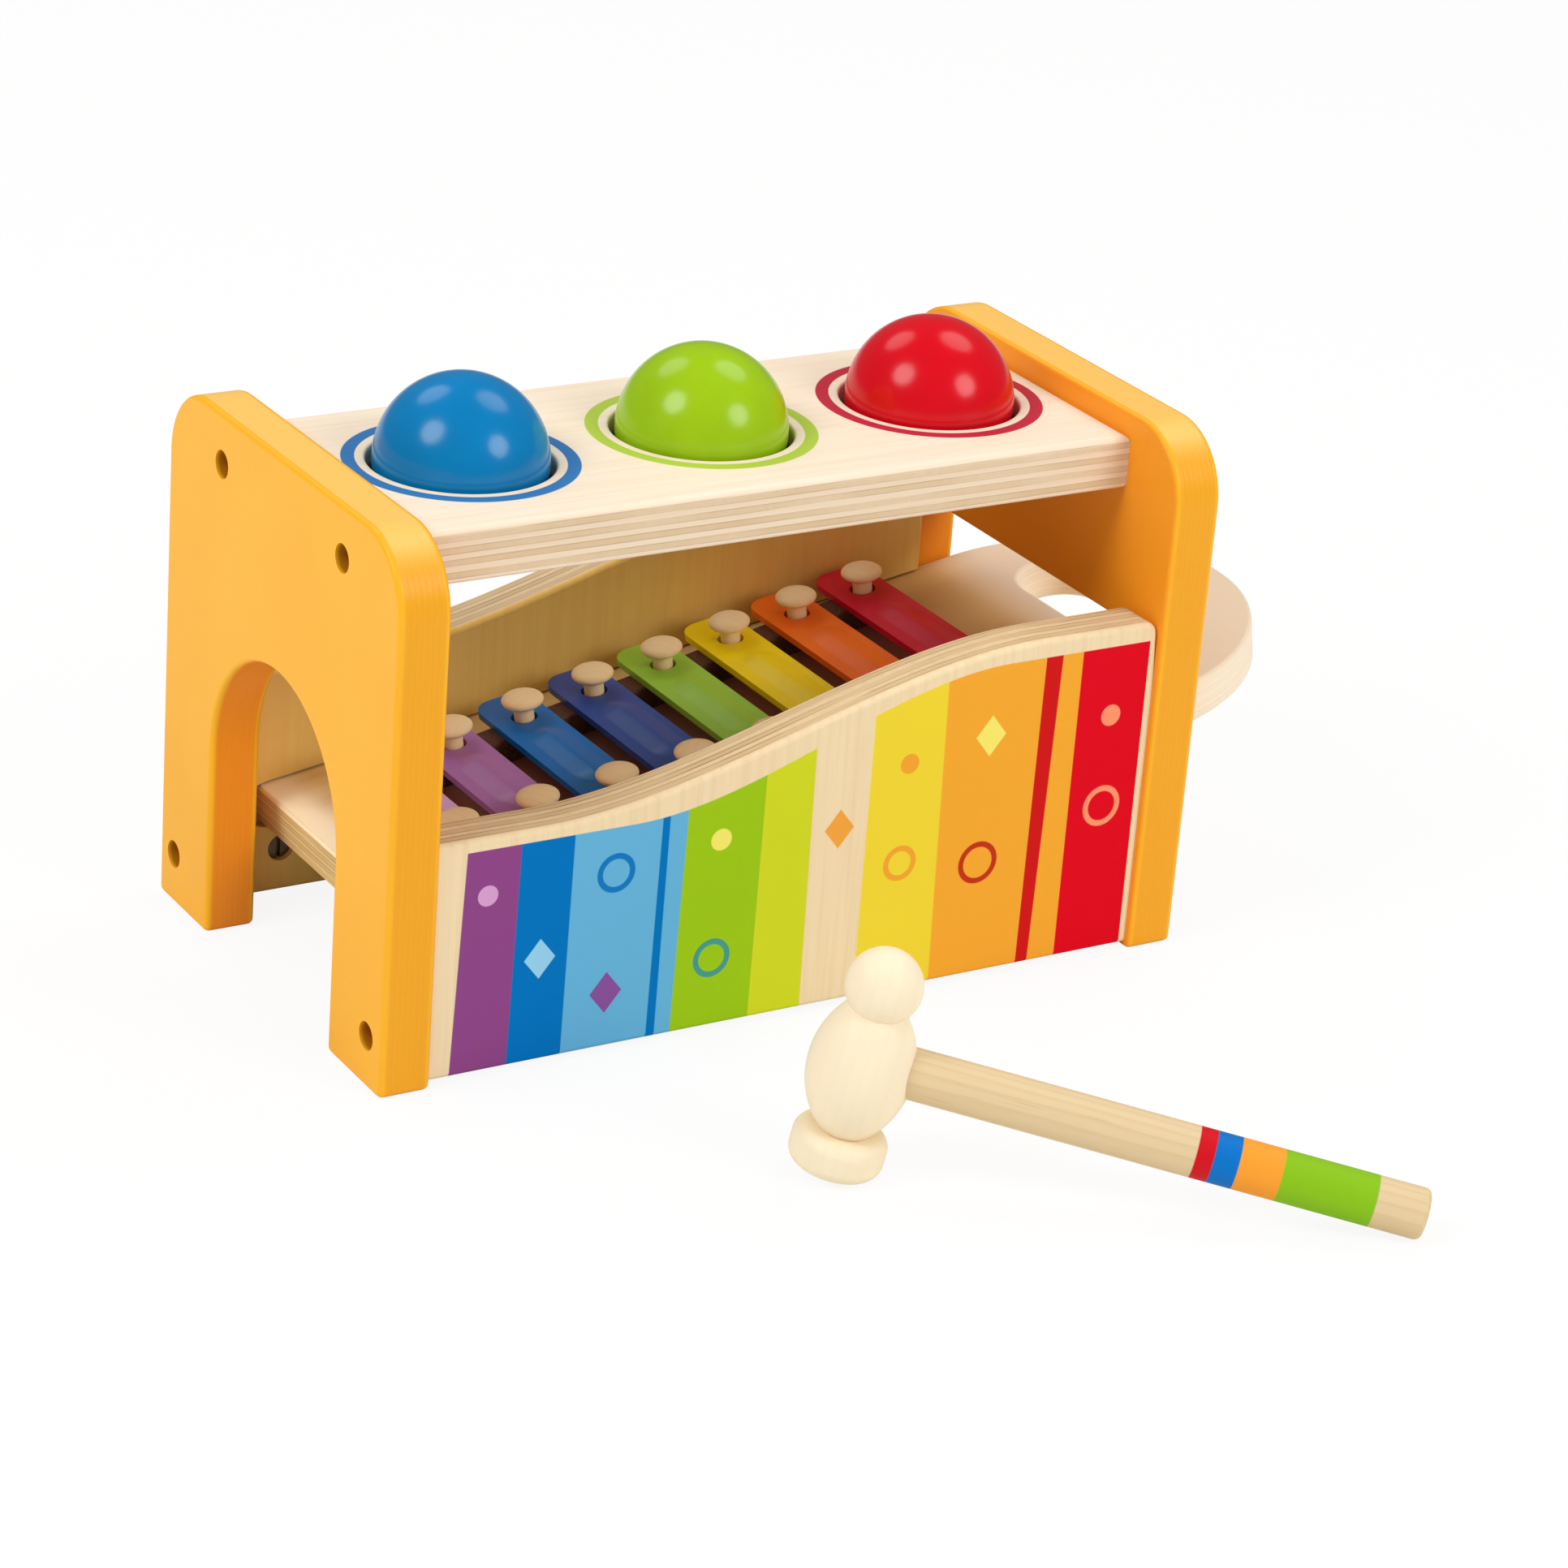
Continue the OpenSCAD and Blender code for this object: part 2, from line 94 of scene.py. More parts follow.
def near(a, b):
    return abs(a - b) < NEAR


# %% [markdown]
# ## From outline to board
# Every flat part of the bench is sawn from a sheet, so it is modelled the same way: a ring
# of points is moved on to the outline, filled, and extruded by the sheet's thickness. Sanding
# takes the sharp edge off, which a bevel does here. Holes are drilled with a boolean. Weighted
# normals at the end keep the flat faces flat beside the rounded edges.

# %% Saw, sand, drill and lay
def board(name, outline, thickness):
    """A sheet of the given thickness, sawn to an outline in its own plane."""
    start_clean()
    bpy.ops.mesh.primitive_circle_add(vertices=len(outline), fill_type="NGON")
    piece = named(name)
    for point, (a, b) in zip(piece.data.vertices, outline):
        point.co = (a * MM, b * MM, 0.0)
    bpy.ops.object.mode_set(mode="EDIT")
    bpy.ops.mesh.select_all(action="SELECT")
    bpy.ops.mesh.extrude_region_move(TRANSFORM_OT_translate={"value": (0.0, 0.0, thickness * MM)})
    bpy.ops.mesh.select_all(action="SELECT")
    bpy.ops.mesh.normals_make_consistent(inside=False)
    bpy.ops.object.mode_set(mode="OBJECT")
    return piece


def sand(piece, radius, steps, test):
    """Rounds the edges that pass a test on their two ends."""
    pick_edges(piece, test)
    bpy.ops.mesh.bevel(offset=radius * MM, segments=steps, profile=0.5, affect="EDGES")
    bpy.ops.object.mode_set(mode="OBJECT")


def move(x, y, z):
    """A move by so many millimetres along each axis."""
    return Matrix.Translation((x * MM, y * MM, z * MM))


def lay(piece, matrix):
    """Moves a piece into place and keeps the place in its mesh."""
    take(piece)
    piece.matrix_world = matrix
    bpy.ops.object.transform_apply(location=True, rotation=True, scale=True)
    return piece


def change(piece, kind, **settings):
    """Adds a modifier to a piece, sets it and applies it."""
    take(piece)
    bpy.ops.object.modifier_add(type=kind)
    modifier = piece.modifiers[-1]
    for name, setting in settings.items():
        setattr(modifier, name, setting)
    bpy.ops.object.modifier_apply(modifier=modifier.name)


def cut(piece, cutter):
    """Takes the cutter's shape out of a piece."""
    change(piece, "BOOLEAN", operation="DIFFERENCE", solver="EXACT", object=cutter)
    bpy.data.objects.remove(cutter)


def block(name, size, middle):
    """A cube stretched to three sizes about its middle."""
    start_clean()
    bpy.ops.mesh.primitive_cube_add(size=1.0)
    stretch = Matrix.Diagonal((*(edge * MM for edge in size), 1.0))
    return lay(named(name), move(*middle) @ stretch)


def rod(radius, length, middle, turn=(0.0, 0.0, 0.0), sides=48):
    """A round cutter with its axis along Z until it is turned."""
    start_clean()
    bpy.ops.mesh.primitive_cylinder_add(
        vertices=sides,
        radius=radius * MM,
        depth=length * MM,
        location=Vector(middle) * MM,
        rotation=turn,
    )
    return bpy.context.object


def soften(piece, angle=40.0):
    """Shades curves smooth and keeps flats flat."""
    take(piece)
    bpy.ops.object.shade_smooth_by_angle(angle=math.radians(angle))
    change(piece, "WEIGHTED_NORMAL", keep_sharp=True)
    print(piece.name, "has", len(piece.data.polygons), "faces")


def turn_about(centre, radius, start, stop, steps, squash=1.0):
    """Points of an arc, round or squashed in its second axis, with its angles in degrees."""
    points = []
    for k in range(steps + 1):
        a = math.radians(start + (stop - start) * k / steps)
        up = squash * radius * math.sin(a)
        points.append((centre[0] + radius * math.cos(a), centre[1] + up))
    return points


def stand_for(piece, node, body, slot):
    """The piece takes a solid's place and rides on its body; its slot is not used."""
    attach(piece, body)
    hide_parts(node)


# %% [markdown]
# ## End panels
# Both ends are the same painted board with rounded top corners and softly sanded edges. The
# left one has the arch that lets the balls out, which is part of its outline. The right one has
# the window that the xylophone slides through, which is an inner edge, so it is cut afterwards
# and its rim is sanded on its own.

# %% Outline of an end panel
END_X = 119.0
END_W = 131.6
END_H = 145.0
END_T = 14.0
INNER_X = END_X - END_T
CORNER_R = 19.5
ARCH_R = 36.2
ARCH_SPRING = 52.4
FOOT_R = 1.8
RIM_R = 1.4


def end_outline(arched):
    half = END_W / 2
    top = END_H - CORNER_R
    points = turn_about((half - FOOT_R, FOOT_R), FOOT_R, -90, 0, 3)
    points += turn_about((half - CORNER_R, top), CORNER_R, 0, 90, 20)
    points += turn_about((CORNER_R - half, top), CORNER_R, 90, 180, 20)
    points += turn_about((FOOT_R - half, FOOT_R), FOOT_R, 180, 270, 3)
    if arched:
        points += turn_about((-ARCH_R - FOOT_R, FOOT_R), FOOT_R, 270, 360, 3)
        points += turn_about((0.0, ARCH_SPRING), ARCH_R, 180, 0, 48)
        points += turn_about((ARCH_R + FOOT_R, FOOT_R), FOOT_R, 180, 270, 3)
    return points


def is_rim(thickness):
    """A test for the edges round the two faces of a board that lies in its own plane."""
    return lambda a, b: near(a.z, b.z) and (near(a.z, 0.0) or near(a.z, thickness))


def stand_end(x):
    """Stands a board up across the bench, from x along +X."""
    return Matrix(((0, 0, 1, x * MM), (1, 0, 0, 0), (0, 1, 0, 0), (0, 0, 0, 1)))


def end_panel(name, arched, x):
    piece = board(name, end_outline(arched), END_T)
    sand(piece, RIM_R, 4, is_rim(END_T))
    return lay(piece, stand_end(x))


left_end = end_panel("left_end_painted", True, -END_X)
right_end = end_panel("right_end_painted", False, INNER_X)
print("end panels sawn,", len(left_end.data.vertices), "points in the left one")

# %% [markdown]
# The window's cutter is a board of its own. It is longer than the panel is thick, so that no
# two faces coincide, which a boolean dislikes. The new rim is found by its place: its edges lie
# on one of the panel's faces, inside the panel's outline.

# %% The window in the right end panel
WINDOW_HALF = 54.6
WINDOW_TOP = 88.6
SLOPE = math.radians(9.34)
BOARD_T = 12.0
BOARD_MID_Z = 49.1
WINDOW_SILL = BOARD_MID_Z + INNER_X * math.tan(SLOPE) - BOARD_T / math.cos(SLOPE) - 2.0
WINDOW_R = 4.0
WINDOW_RIM_R = 1.2
OVERRUN = 2.0


def window_outline():
    a = WINDOW_HALF - WINDOW_R
    low = WINDOW_SILL + WINDOW_R
    high = WINDOW_TOP - WINDOW_R
    points = []
    for k, corner in enumerate([(a, low), (a, high), (-a, high), (-a, low)]):
        points += turn_about(corner, WINDOW_R, 90 * k - 90, 90 * k, 8)
    return points


def on_window_rim(a, b):
    if not near(a.x, b.x) or not (near(a.x, INNER_X) or near(a.x, END_X)):
        return False
    low = WINDOW_SILL - NEAR
    high = WINDOW_TOP + NEAR
    edge = WINDOW_HALF + NEAR
    return all(low < p.z < high and abs(p.y) < edge for p in (a, b))


opening = board("window_cutter", window_outline(), END_T + 2 * OVERRUN)
lay(opening, stand_end(INNER_X - OVERRUN))
cut(right_end, opening)
sand(right_end, WINDOW_RIM_R, 3, on_window_rim)
print("window sill at", round(WINDOW_SILL, 2), "mm")

# %% [markdown]
# Four bolts hold each end panel. Their heads sit at the bottom of round recesses, which show as
# dark spots. The bolts themselves are solids that need no remodelling.

# %% Bolt recesses
SINK_R = 3.75
SINK_DEPTH = 8.0
PLANK_BOLT_Y = 34.3
SIDE_BOLT_Z = 14.0
BOLT_PAIRS = [(PLANK_BOLT_Y, 131.75), (57.25, SIDE_BOLT_Z)]
BOLT_PLACES = [(side * y, z) for y, z in BOLT_PAIRS for side in (1, -1)]
ALONG_X = (0.0, math.pi / 2, 0.0)
for panel, side in ((left_end, -1), (right_end, 1)):
    for y, z in BOLT_PLACES:
        middle = side * (END_X - SINK_DEPTH / 2 + OVERRUN / 2)
        cut(panel, rod(SINK_R, SINK_DEPTH + OVERRUN, (middle, y, z), ALONG_X, 32))
    soften(panel)
stand_for(left_end, "left_end_panel", "bench", "end_panel_paint")
stand_for(right_end, "right_end_panel", "bench", "end_panel_paint")

# %% [markdown]
# ## Top plank
# A plain plywood plank between the end panels. A cube at its size is the start; its long edges
# are sanded rounder above, where small hands reach, than below. Each ball hole is drilled, and
# its rim is broken with a small bevel. Its ends stay sharp, since they butt against the panels.

# %% The plank and its ball holes
PLANK_W = 86.0
PLANK_T = 14.5
PLANK_TOP = 139.0
PLANK_LOW = PLANK_TOP - PLANK_T
PLANK_EDGE_R = 2.2
PLANK_UNDER_R = 1.4
HOLE_R = 24.0
HOLE_RIM_R = 0.8
BALL_X = {"blue": -69.5, "green": 0.0, "red": 69.5}


def plank_long_edge(z):
    half = PLANK_W / 2
    return lambda a, b: all(near(p.z, z) and near(abs(p.y), half) for p in (a, b))


def hole_rim(z):
    def test(a, b):
        if not (near(a.z, z) and near(b.z, z)):
            return False
        return any(
            all(near(math.hypot(p.x - x, p.y), HOLE_R) for p in (a, b)) for x in BALL_X.values()
        )

    return test


plank_mid = PLANK_LOW + PLANK_T / 2
plank = block("plank_sanded", (2 * INNER_X, PLANK_W, PLANK_T), (0.0, 0.0, plank_mid))
sand(plank, PLANK_EDGE_R, 5, plank_long_edge(PLANK_TOP))
sand(plank, PLANK_UNDER_R, 3, plank_long_edge(PLANK_LOW))
for x in BALL_X.values():
    cut(plank, rod(HOLE_R, PLANK_T + 2 * OVERRUN, (x, 0.0, plank_mid), sides=96))
sand(plank, HOLE_RIM_R, 3, hole_rim(PLANK_TOP))
sand(plank, HOLE_RIM_R, 3, hole_rim(PLANK_LOW))

# %% Barrel nut holes from below
NUT_X = 91.0
NUT_R = 3.8
NUT_BORE = 12.25
bore_mid = PLANK_LOW + (NUT_BORE - OVERRUN) / 2
for x in (-NUT_X, NUT_X):
    for y in (-PLANK_BOLT_Y, PLANK_BOLT_Y):
        cut(plank, rod(NUT_R, NUT_BORE + OVERRUN, (x, y, bore_mid), sides=32))
soften(plank)
stand_for(plank, "top_plank", "bench", "birch_ply")

# %% [markdown]
# ## Balls
# A ball sits in each hole with its middle level with the plank's face. A sphere with many
# segments is enough, shaded smooth all over, and each ball is a body of its own.

# %% Three balls
BALL_RADIUS = 22.5
balls = {}
for colour, x in BALL_X.items():
    start_clean()
    bpy.ops.mesh.primitive_uv_sphere_add(segments=96, ring_count=64, radius=BALL_RADIUS * MM)
    balls[colour] = named(colour + "_ball_turned")
    lay(balls[colour], move(x, 0.0, PLANK_TOP))
    bpy.ops.object.shade_smooth()
    stand_for(balls[colour], colour + "_ball", colour + "_ball", colour + "_ball_paint")
print(len(balls), "balls")

# %% [markdown]
# ## Side panels
# The front and back panels are twins. Their top edge starts low, so that a child sees the keys,
# and climbs in an S to the high end, where it ends in a rounded corner. The outline carries the
# S as many short steps, and the sanding follows it all round.

# %% Outline of a side panel
SIDE_T = 13.5
SIDE_OUT = 64.0
SIDE_IN = SIDE_OUT - SIDE_T
SIDE_LIFT = 1.4
SIDE_LOW = 65.7
SIDE_HIGH = 94.5
RISE_FROM = -76.0
RISE_TO = 71.0
SIDE_CORNER_R = 3.5
SIDE_RIM_R = 1.6


def ease(share):
    share = min(max(share, 0.0), 1.0)
    return share * share * (3 - 2 * share)


def side_top(x):
    return SIDE_LOW + ease((x - RISE_FROM) / (RISE_TO - RISE_FROM)) * (SIDE_HIGH - SIDE_LOW)


def side_outline():
    points = [(-INNER_X, SIDE_LIFT), (INNER_X, SIDE_LIFT)]
    corner = (INNER_X - SIDE_CORNER_R, SIDE_HIGH - SIDE_CORNER_R)
    points += turn_about(corner, SIDE_CORNER_R, 0, 90, 10)
    steps = 64
    for k in range(steps + 1):
        x = RISE_TO + (RISE_FROM - RISE_TO) * k / steps
        points.append((x, side_top(x)))
    points.append((-INNER_X, SIDE_LOW))
    return points


def stand_side(y):
    """Stands a board up along the bench, from y towards the front."""
    return Matrix(((1, 0, 0, 0), (0, 0, -1, y * MM), (0, 1, 0, 0), (0, 0, 0, 1)))


def is_side_rim(a, b):
    """The long rims of a side panel: the short ends butt against the end panels."""
    ends = near(abs(a.x), INNER_X) and near(abs(b.x), INNER_X) and near(a.x, b.x)
    return is_rim(SIDE_T)(a, b) and not ends


def side_panel(name, y):
    piece = board(name, side_outline(), SIDE_T)
    sand(piece, SIDE_RIM_R, 4, is_side_rim)
    return lay(piece, stand_side(y))


front = side_panel("front_printed", -SIDE_IN)
back = side_panel("back_plain", SIDE_OUT)
print("side panels rise from", SIDE_LOW, "to", SIDE_HIGH, "mm")

# %% [markdown]
# On their inner faces both panels have a sloping groove, in which the xylophone slides, and a
# cross hole near each lower corner for a barrel nut. The groove's cutter is a cube whose low
# end is bevelled until it is round, like the path of a router bit.

# %% Grooves and cross holes
GROOVE_DEPTH = 3.6
GROOVE_R = 6.7
GROOVE_LOW = -104.2
GROOVE_HIGH = 180.0
ON_SLOPE = move(0.0, 0.0, BOARD_MID_Z) @ Matrix.Rotation(-SLOPE, 4, "Y")


def groove_low_edge(a, b):
    return near(a.x, GROOVE_LOW) and near(b.x, GROOVE_LOW) and near(a.z, b.z)


def groove_cutter():
    size = (GROOVE_HIGH - GROOVE_LOW, 2 * (SIDE_IN + GROOVE_DEPTH), 2 * GROOVE_R)
    cutter = block("groove_cutter", size, ((GROOVE_LOW + GROOVE_HIGH) / 2, 0.0, -BOARD_T / 2))
    sand(cutter, GROOVE_R - NEAR, 8, groove_low_edge)
    return lay(cutter, ON_SLOPE)


ALONG_Y = (math.pi / 2, 0.0, 0.0)
CROSS_DEPTH = 11.75
for panel, side in ((front, -1), (back, 1)):
    cut(panel, groove_cutter())
    for x in (-NUT_X, NUT_X):
        middle = side * (SIDE_IN + (CROSS_DEPTH - OVERRUN) / 2)
        cut(panel, rod(NUT_R, CROSS_DEPTH + OVERRUN, (x, middle, SIDE_BOLT_Z), ALONG_Y, 32))
    soften(panel)
stand_for(front, "front_panel", "bench", "birch_ply")
stand_for(back, "back_panel", "bench", "birch_ply")

# %% [markdown]
# ## Xylophone board
# The keys sit on a sloping board with a round grip end and a finger slot. It is sawn flat, in
# its own plane, and then laid on the slope, so that its outline stays a plain rectangle with a
# half circle. The slot is drilled with a cutter of the same make and its rim sanded for fingers.

# %% The board and its finger slot
BOARD_HALF = 53.8
BOARD_LOW = -98.2 / math.cos(SLOPE)
BOARD_TIP = (END_X + 52.0) / math.cos(SLOPE)
BOARD_ROUND = BOARD_TIP - BOARD_HALF
SLOT_R = 11.4
SLOT_REACH = 34.0
SLOT_FROM_TIP = 26.0
SLOT_HALF = SLOT_REACH - SLOT_R
SLOT_MID = BOARD_TIP - SLOT_FROM_TIP - SLOT_R
BOARD_RIM_R = 1.2
SLOT_RIM_R = 1.6


def board_outline():
    points = [(BOARD_LOW, BOARD_HALF), (BOARD_LOW, -BOARD_HALF)]
    points += turn_about((BOARD_ROUND, 0.0), BOARD_HALF, -90, 90, 72)
    return points


def slot_outline():
    points = turn_about((SLOT_MID, SLOT_HALF), SLOT_R, 0, 180, 24)
    points += turn_about((SLOT_MID, -SLOT_HALF), SLOT_R, 180, 360, 24)
    return points


def on_slot_rim(a, b):
    inside = all(
        abs(p.x - SLOT_MID) < SLOT_R + NEAR and abs(p.y) < SLOT_HALF + SLOT_R + NEAR for p in (a, b)
    )
    return inside and is_rim(BOARD_T)(a, b)


slide = board("xylophone_slide_board", board_outline(), BOARD_T)
sand(slide, BOARD_RIM_R, 3, is_rim(BOARD_T))
slot_cutter = board("slot_cutter", slot_outline(), BOARD_T + 2 * OVERRUN)
lay(slot_cutter, move(0.0, 0.0, -OVERRUN))
cut(slide, slot_cutter)
sand(slide, SLOT_RIM_R, 3, on_slot_rim)
lay(slide, ON_SLOPE @ move(0.0, 0.0, -BOARD_T))
soften(slide)
stand_for(slide, "xylophone_board", "xylophone", "birch_ply")

# %% [markdown]
# ## Keys
# A key is pressed from sheet metal: flat at its ends, where the pegs pass, with a rib along the
# middle. A grid takes that shape point by point: rows near an end are narrowed to round the
# corners, and the middle columns are raised into the rib. Solidify then gives the sheet its
# thickness and a bevel breaks its edge. Eight lengths come from the one recipe.

# %% One key from a grid
KEY_COLOURS = ["red", "orange", "yellow", "green", "navy", "blue", "purple", "lilac"]
KEY_W = 16.0
KEY_LEAN = 0.6
KEY_T = 2.0
KEY_EDGE = 0.6
KEY_LOW = 7.0
KEY_CORNER = 5.5
KEY_HOLE_R = 3.6
KEY_FIRST = 78.1 / math.cos(SLOPE)
KEY_PITCH = 22.2
KEY_LONGEST = 98.4
KEY_STEP = 3.6
PEG_END = 14.3
RIB_HALF = 4.6
RIB_H = 1.1
RIB_CREST = 0.15
RIB_SHARE = 0.68
RIB_RUN = 7.0
STRAIGHT_ROWS = 0.72


def key_mid(i):
    return KEY_FIRST - i * KEY_PITCH


def key_length(i):
    return KEY_LONGEST - i * KEY_STEP


def peg_y(i):
    return key_length(i) / 2 - PEG_END


def key_row(share, length):
    """The place along a key of a row of its grid, with rows gathered at the round corners."""
    half = length / 2
    straight = half - KEY_CORNER
    if abs(share) <= STRAIGHT_ROWS:
        return share / STRAIGHT_ROWS * straight
    turn = (abs(share) - STRAIGHT_ROWS) / (1 - STRAIGHT_ROWS) * math.pi / 2
    return math.copysign(straight + math.sin(turn) * KEY_CORNER, share)


def key_half_width(y, length):
    past = max(abs(y) - (length / 2 - KEY_CORNER), 0.0)
    return KEY_W / 2 - KEY_CORNER + math.sqrt(max(KEY_CORNER**2 - past**2, 0.0))


def rib_height(x, y, reach):
    past = max(abs(y) - (reach - RIB_RUN), 0.0)
    flank = 1.0 + RIB_CREST - math.hypot(x / RIB_HALF, RIB_CREST)
    return RIB_H * max(flank - (past / RIB_RUN) ** 2, 0.0)


def key(name, i):
    start_clean()
    bpy.ops.mesh.primitive_grid_add(x_subdivisions=40, y_subdivisions=90, size=2.0)
    piece = named(name)
    length = key_length(i)
    for point in piece.data.vertices:
        y = key_row(point.co.y, length)
        x = point.co.x * key_half_width(y, length) - KEY_LEAN
        point.co = (x * MM, y * MM, rib_height(x, y, peg_y(i) * RIB_SHARE) * MM)
    change(piece, "SOLIDIFY", thickness=KEY_T * MM, offset=-1.0)
    sharp = {"limit_method": "ANGLE", "angle_limit": math.radians(50)}
    change(piece, "BEVEL", width=KEY_EDGE * MM, segments=3, **sharp)
    for side in (-1, 1):
        cut(piece, rod(KEY_HOLE_R, 6 * KEY_T, (0.0, side * peg_y(i), 0.0), sides=32))
    lay(piece, ON_SLOPE @ move(key_mid(i), 0.0, KEY_LOW + KEY_T))
    soften(piece)
    return piece


keys = {}
for i, colour in enumerate(KEY_COLOURS):
    keys[colour] = key(colour + "_bar", i)
    stand_for(keys[colour], colour + "_key", "xylophone", colour + "_key_paint")

# %% [markdown]
# ## Pegs
# Sixteen little mushrooms hold the keys. One is turned on the lathe: its profile is drawn by
# extruding a point along it, and spin takes the profile round. The copies each get a mesh of
# their own, laid straight into place.

# %% A lathe, and the first peg
PEG_IN = 6.0
PEG_STEM_R = 2.7
PEG_HEAD_R = 5.7
PEG_UNDER = 12.4
PEG_WIDEST = 14.2
PEG_TOP = 16.2


def lathe(name, profile, sides):
    """Spins a profile of radius and height about Z."""
    start_clean()
    bpy.ops.mesh.primitive_plane_add(size=1.0 * MM)
    piece = named(name)
    bpy.context.tool_settings.mesh_select_mode = (True, False, False)
    bpy.ops.object.mode_set(mode="EDIT")
    bpy.ops.mesh.select_all(action="SELECT")
    bpy.ops.mesh.merge(type="CENTER")
    bpy.ops.transform.translate(value=(profile[0][0] * MM, 0.0, profile[0][1] * MM))
    for (r0, z0), (r1, z1) in zip(profile, profile[1:]):
        step = ((r1 - r0) * MM, 0.0, (z1 - z0) * MM)
        bpy.ops.mesh.extrude_region_move(TRANSFORM_OT_translate={"value": step})
    bpy.ops.mesh.select_all(action="SELECT")
    bpy.ops.mesh.spin(steps=sides, angle=2 * math.pi, center=(0.0, 0.0, 0.0), axis=(0.0, 0.0, 1.0))
    bpy.ops.mesh.select_all(action="SELECT")
    bpy.ops.mesh.remove_doubles(threshold=0.002 * MM)
    bpy.ops.mesh.normals_make_consistent(inside=False)
    bpy.ops.object.mode_set(mode="OBJECT")
    return piece


def peg_profile():
    brim = PEG_HEAD_R - PEG_STEM_R
    hang = (PEG_WIDEST - PEG_UNDER) / brim
    dome = (PEG_TOP - PEG_WIDEST) / PEG_HEAD_R
    points = [(0.0, -PEG_IN), (PEG_STEM_R, -PEG_IN)]
    points += turn_about((PEG_STEM_R, PEG_WIDEST), brim, -90, 0, 10, hang)
    points += turn_about((0.0, PEG_WIDEST), PEG_HEAD_R, 0, 90, 10, dome)[1:]
    return points


pattern_peg = lathe("pattern_peg", peg_profile(), 48)
soften(pattern_peg)

# %% Sixteen copies
pegs = []
for i, colour in enumerate(KEY_COLOURS):
    for side, word in ((1, "back"), (-1, "front")):
        peg = pattern_peg.copy()
        peg.data = pattern_peg.data.copy()
        peg.name = f"{colour}_{word}_mushroom"
        bpy.context.collection.objects.link(peg)
        lay(peg, ON_SLOPE @ move(key_mid(i), side * peg_y(i), 0.0))
        stand_for(peg, f"{colour}_{word}_peg", "xylophone", "turned_wood")
        pegs.append(peg)
bpy.data.objects.remove(pattern_peg)
print(len(pegs), "pegs")

# %% [markdown]
# ## Felt rails
# Two strips of felt lie under the key ends and let the keys ring. Felt has no sharp edge: the
# strip is a block with a bevel on every edge but the lowest.

# %% Felt under the keys
FELT_T = 7.0
FELT_W = 9.0
FELT_EDGE = 0.9
FELT_OVER = 8.5
ROW_RUN = key_mid(0) - key_mid(7)
ROW_SPREAD = peg_y(0) - peg_y(7)
ROW_TURN = math.atan2(ROW_SPREAD, ROW_RUN)
felt_length = math.hypot(ROW_RUN, ROW_SPREAD) + 2 * FELT_OVER
felts = []
for side, word in ((1, "back"), (-1, "front")):
    felt = block(word + "_felt_strip", (felt_length, FELT_W, FELT_T), (0.0, 0.0, FELT_T / 2))
    sand(felt, FELT_EDGE, 3, lambda a, b: max(a.z, b.z) > FELT_T / 2)
    middle = move((key_mid(0) + key_mid(7)) / 2, side * (peg_y(0) + peg_y(7)) / 2, 0.0)
    lay(felt, ON_SLOPE @ middle @ Matrix.Rotation(side * ROW_TURN, 4, "Z"))
    soften(felt)
    stand_for(felt, word + "_felt_rail", "xylophone", "felt")
    felts.append(felt)

# %% [markdown]
# ## Mallet
# The mallet's head is one turning: a flat foot, a bellied body and a ball on top, with a crease
# where they meet. The handle is a dowel with a softened end. The mallet rests on the floor on
# its foot's edge and on the handle's end, so the head leans by the angle at which both touch.

# %% Where the mallet lies
BALL_UP = 20.6
BALL_R = 9.55
BODY_R = 13.2
BOW_R = 25.0
BODY_LOW = 2.0
CREASE_Z = 14.3
FOOT_LOW = -29.4
FOOT_TOP = -19.0
FOOT_RADIUS = 11.9
FOOT_EDGE = 3.4
HANDLE_R = 6.45
HANDLE_IN = 4.0
HANDLE_END = 140.4
HANDLE_EDGE = 1.6
MALLET_AT = (-29.3, -143.3)
MALLET_TURN = math.radians(-36.9)

foot_arm = -FOOT_LOW - FOOT_EDGE
foot_reach = FOOT_RADIUS - FOOT_EDGE
lean_rise = foot_arm - (HANDLE_R - HANDLE_EDGE)
lean_run = HANDLE_END - HANDLE_EDGE - foot_reach
lean_edge = FOOT_EDGE - HANDLE_EDGE
lean_arm = math.hypot(lean_rise, lean_run)
MALLET_LEAN = math.acos(-lean_edge / lean_arm) - math.atan2(lean_run, lean_rise)
MALLET_Z = foot_arm * math.cos(MALLET_LEAN) + foot_reach * math.sin(MALLET_LEAN) + FOOT_EDGE
MALLET_PLACE = Vector((*MALLET_AT, MALLET_Z))
MALLET_EULER = Euler((0.0, MALLET_LEAN, MALLET_TURN))
MALLET = move(*MALLET_PLACE) @ MALLET_EULER.to_matrix().to_4x4()
print("the mallet leans", round(math.degrees(MALLET_LEAN), 2), "degrees")


# %% The turned head
def head_profile():
    bow = (BODY_R - BOW_R, -BODY_LOW)
    low = math.degrees(math.asin((FOOT_TOP - bow[1]) / BOW_R))
    high = math.degrees(math.asin((CREASE_Z - bow[1]) / BOW_R))
    crease = math.degrees(math.asin((CREASE_Z - BALL_UP) / BALL_R))
    points = [(0.0, FOOT_LOW)]
    points += turn_about((foot_reach, FOOT_LOW + FOOT_EDGE), FOOT_EDGE, -90, 0, 8)
    points += turn_about((foot_reach, FOOT_TOP - FOOT_EDGE), FOOT_EDGE, 0, 90, 8)
    points += turn_about(bow, BOW_R, low, high, 24)
    points += turn_about((0.0, BALL_UP), BALL_R, crease, 90, 28)[1:]
    return points


head = lathe("mallet_head_turned", head_profile(), 96)
lay(head, MALLET)
soften(head, 30.0)
stand_for(head, "mallet_head", "mallet", "turned_wood")


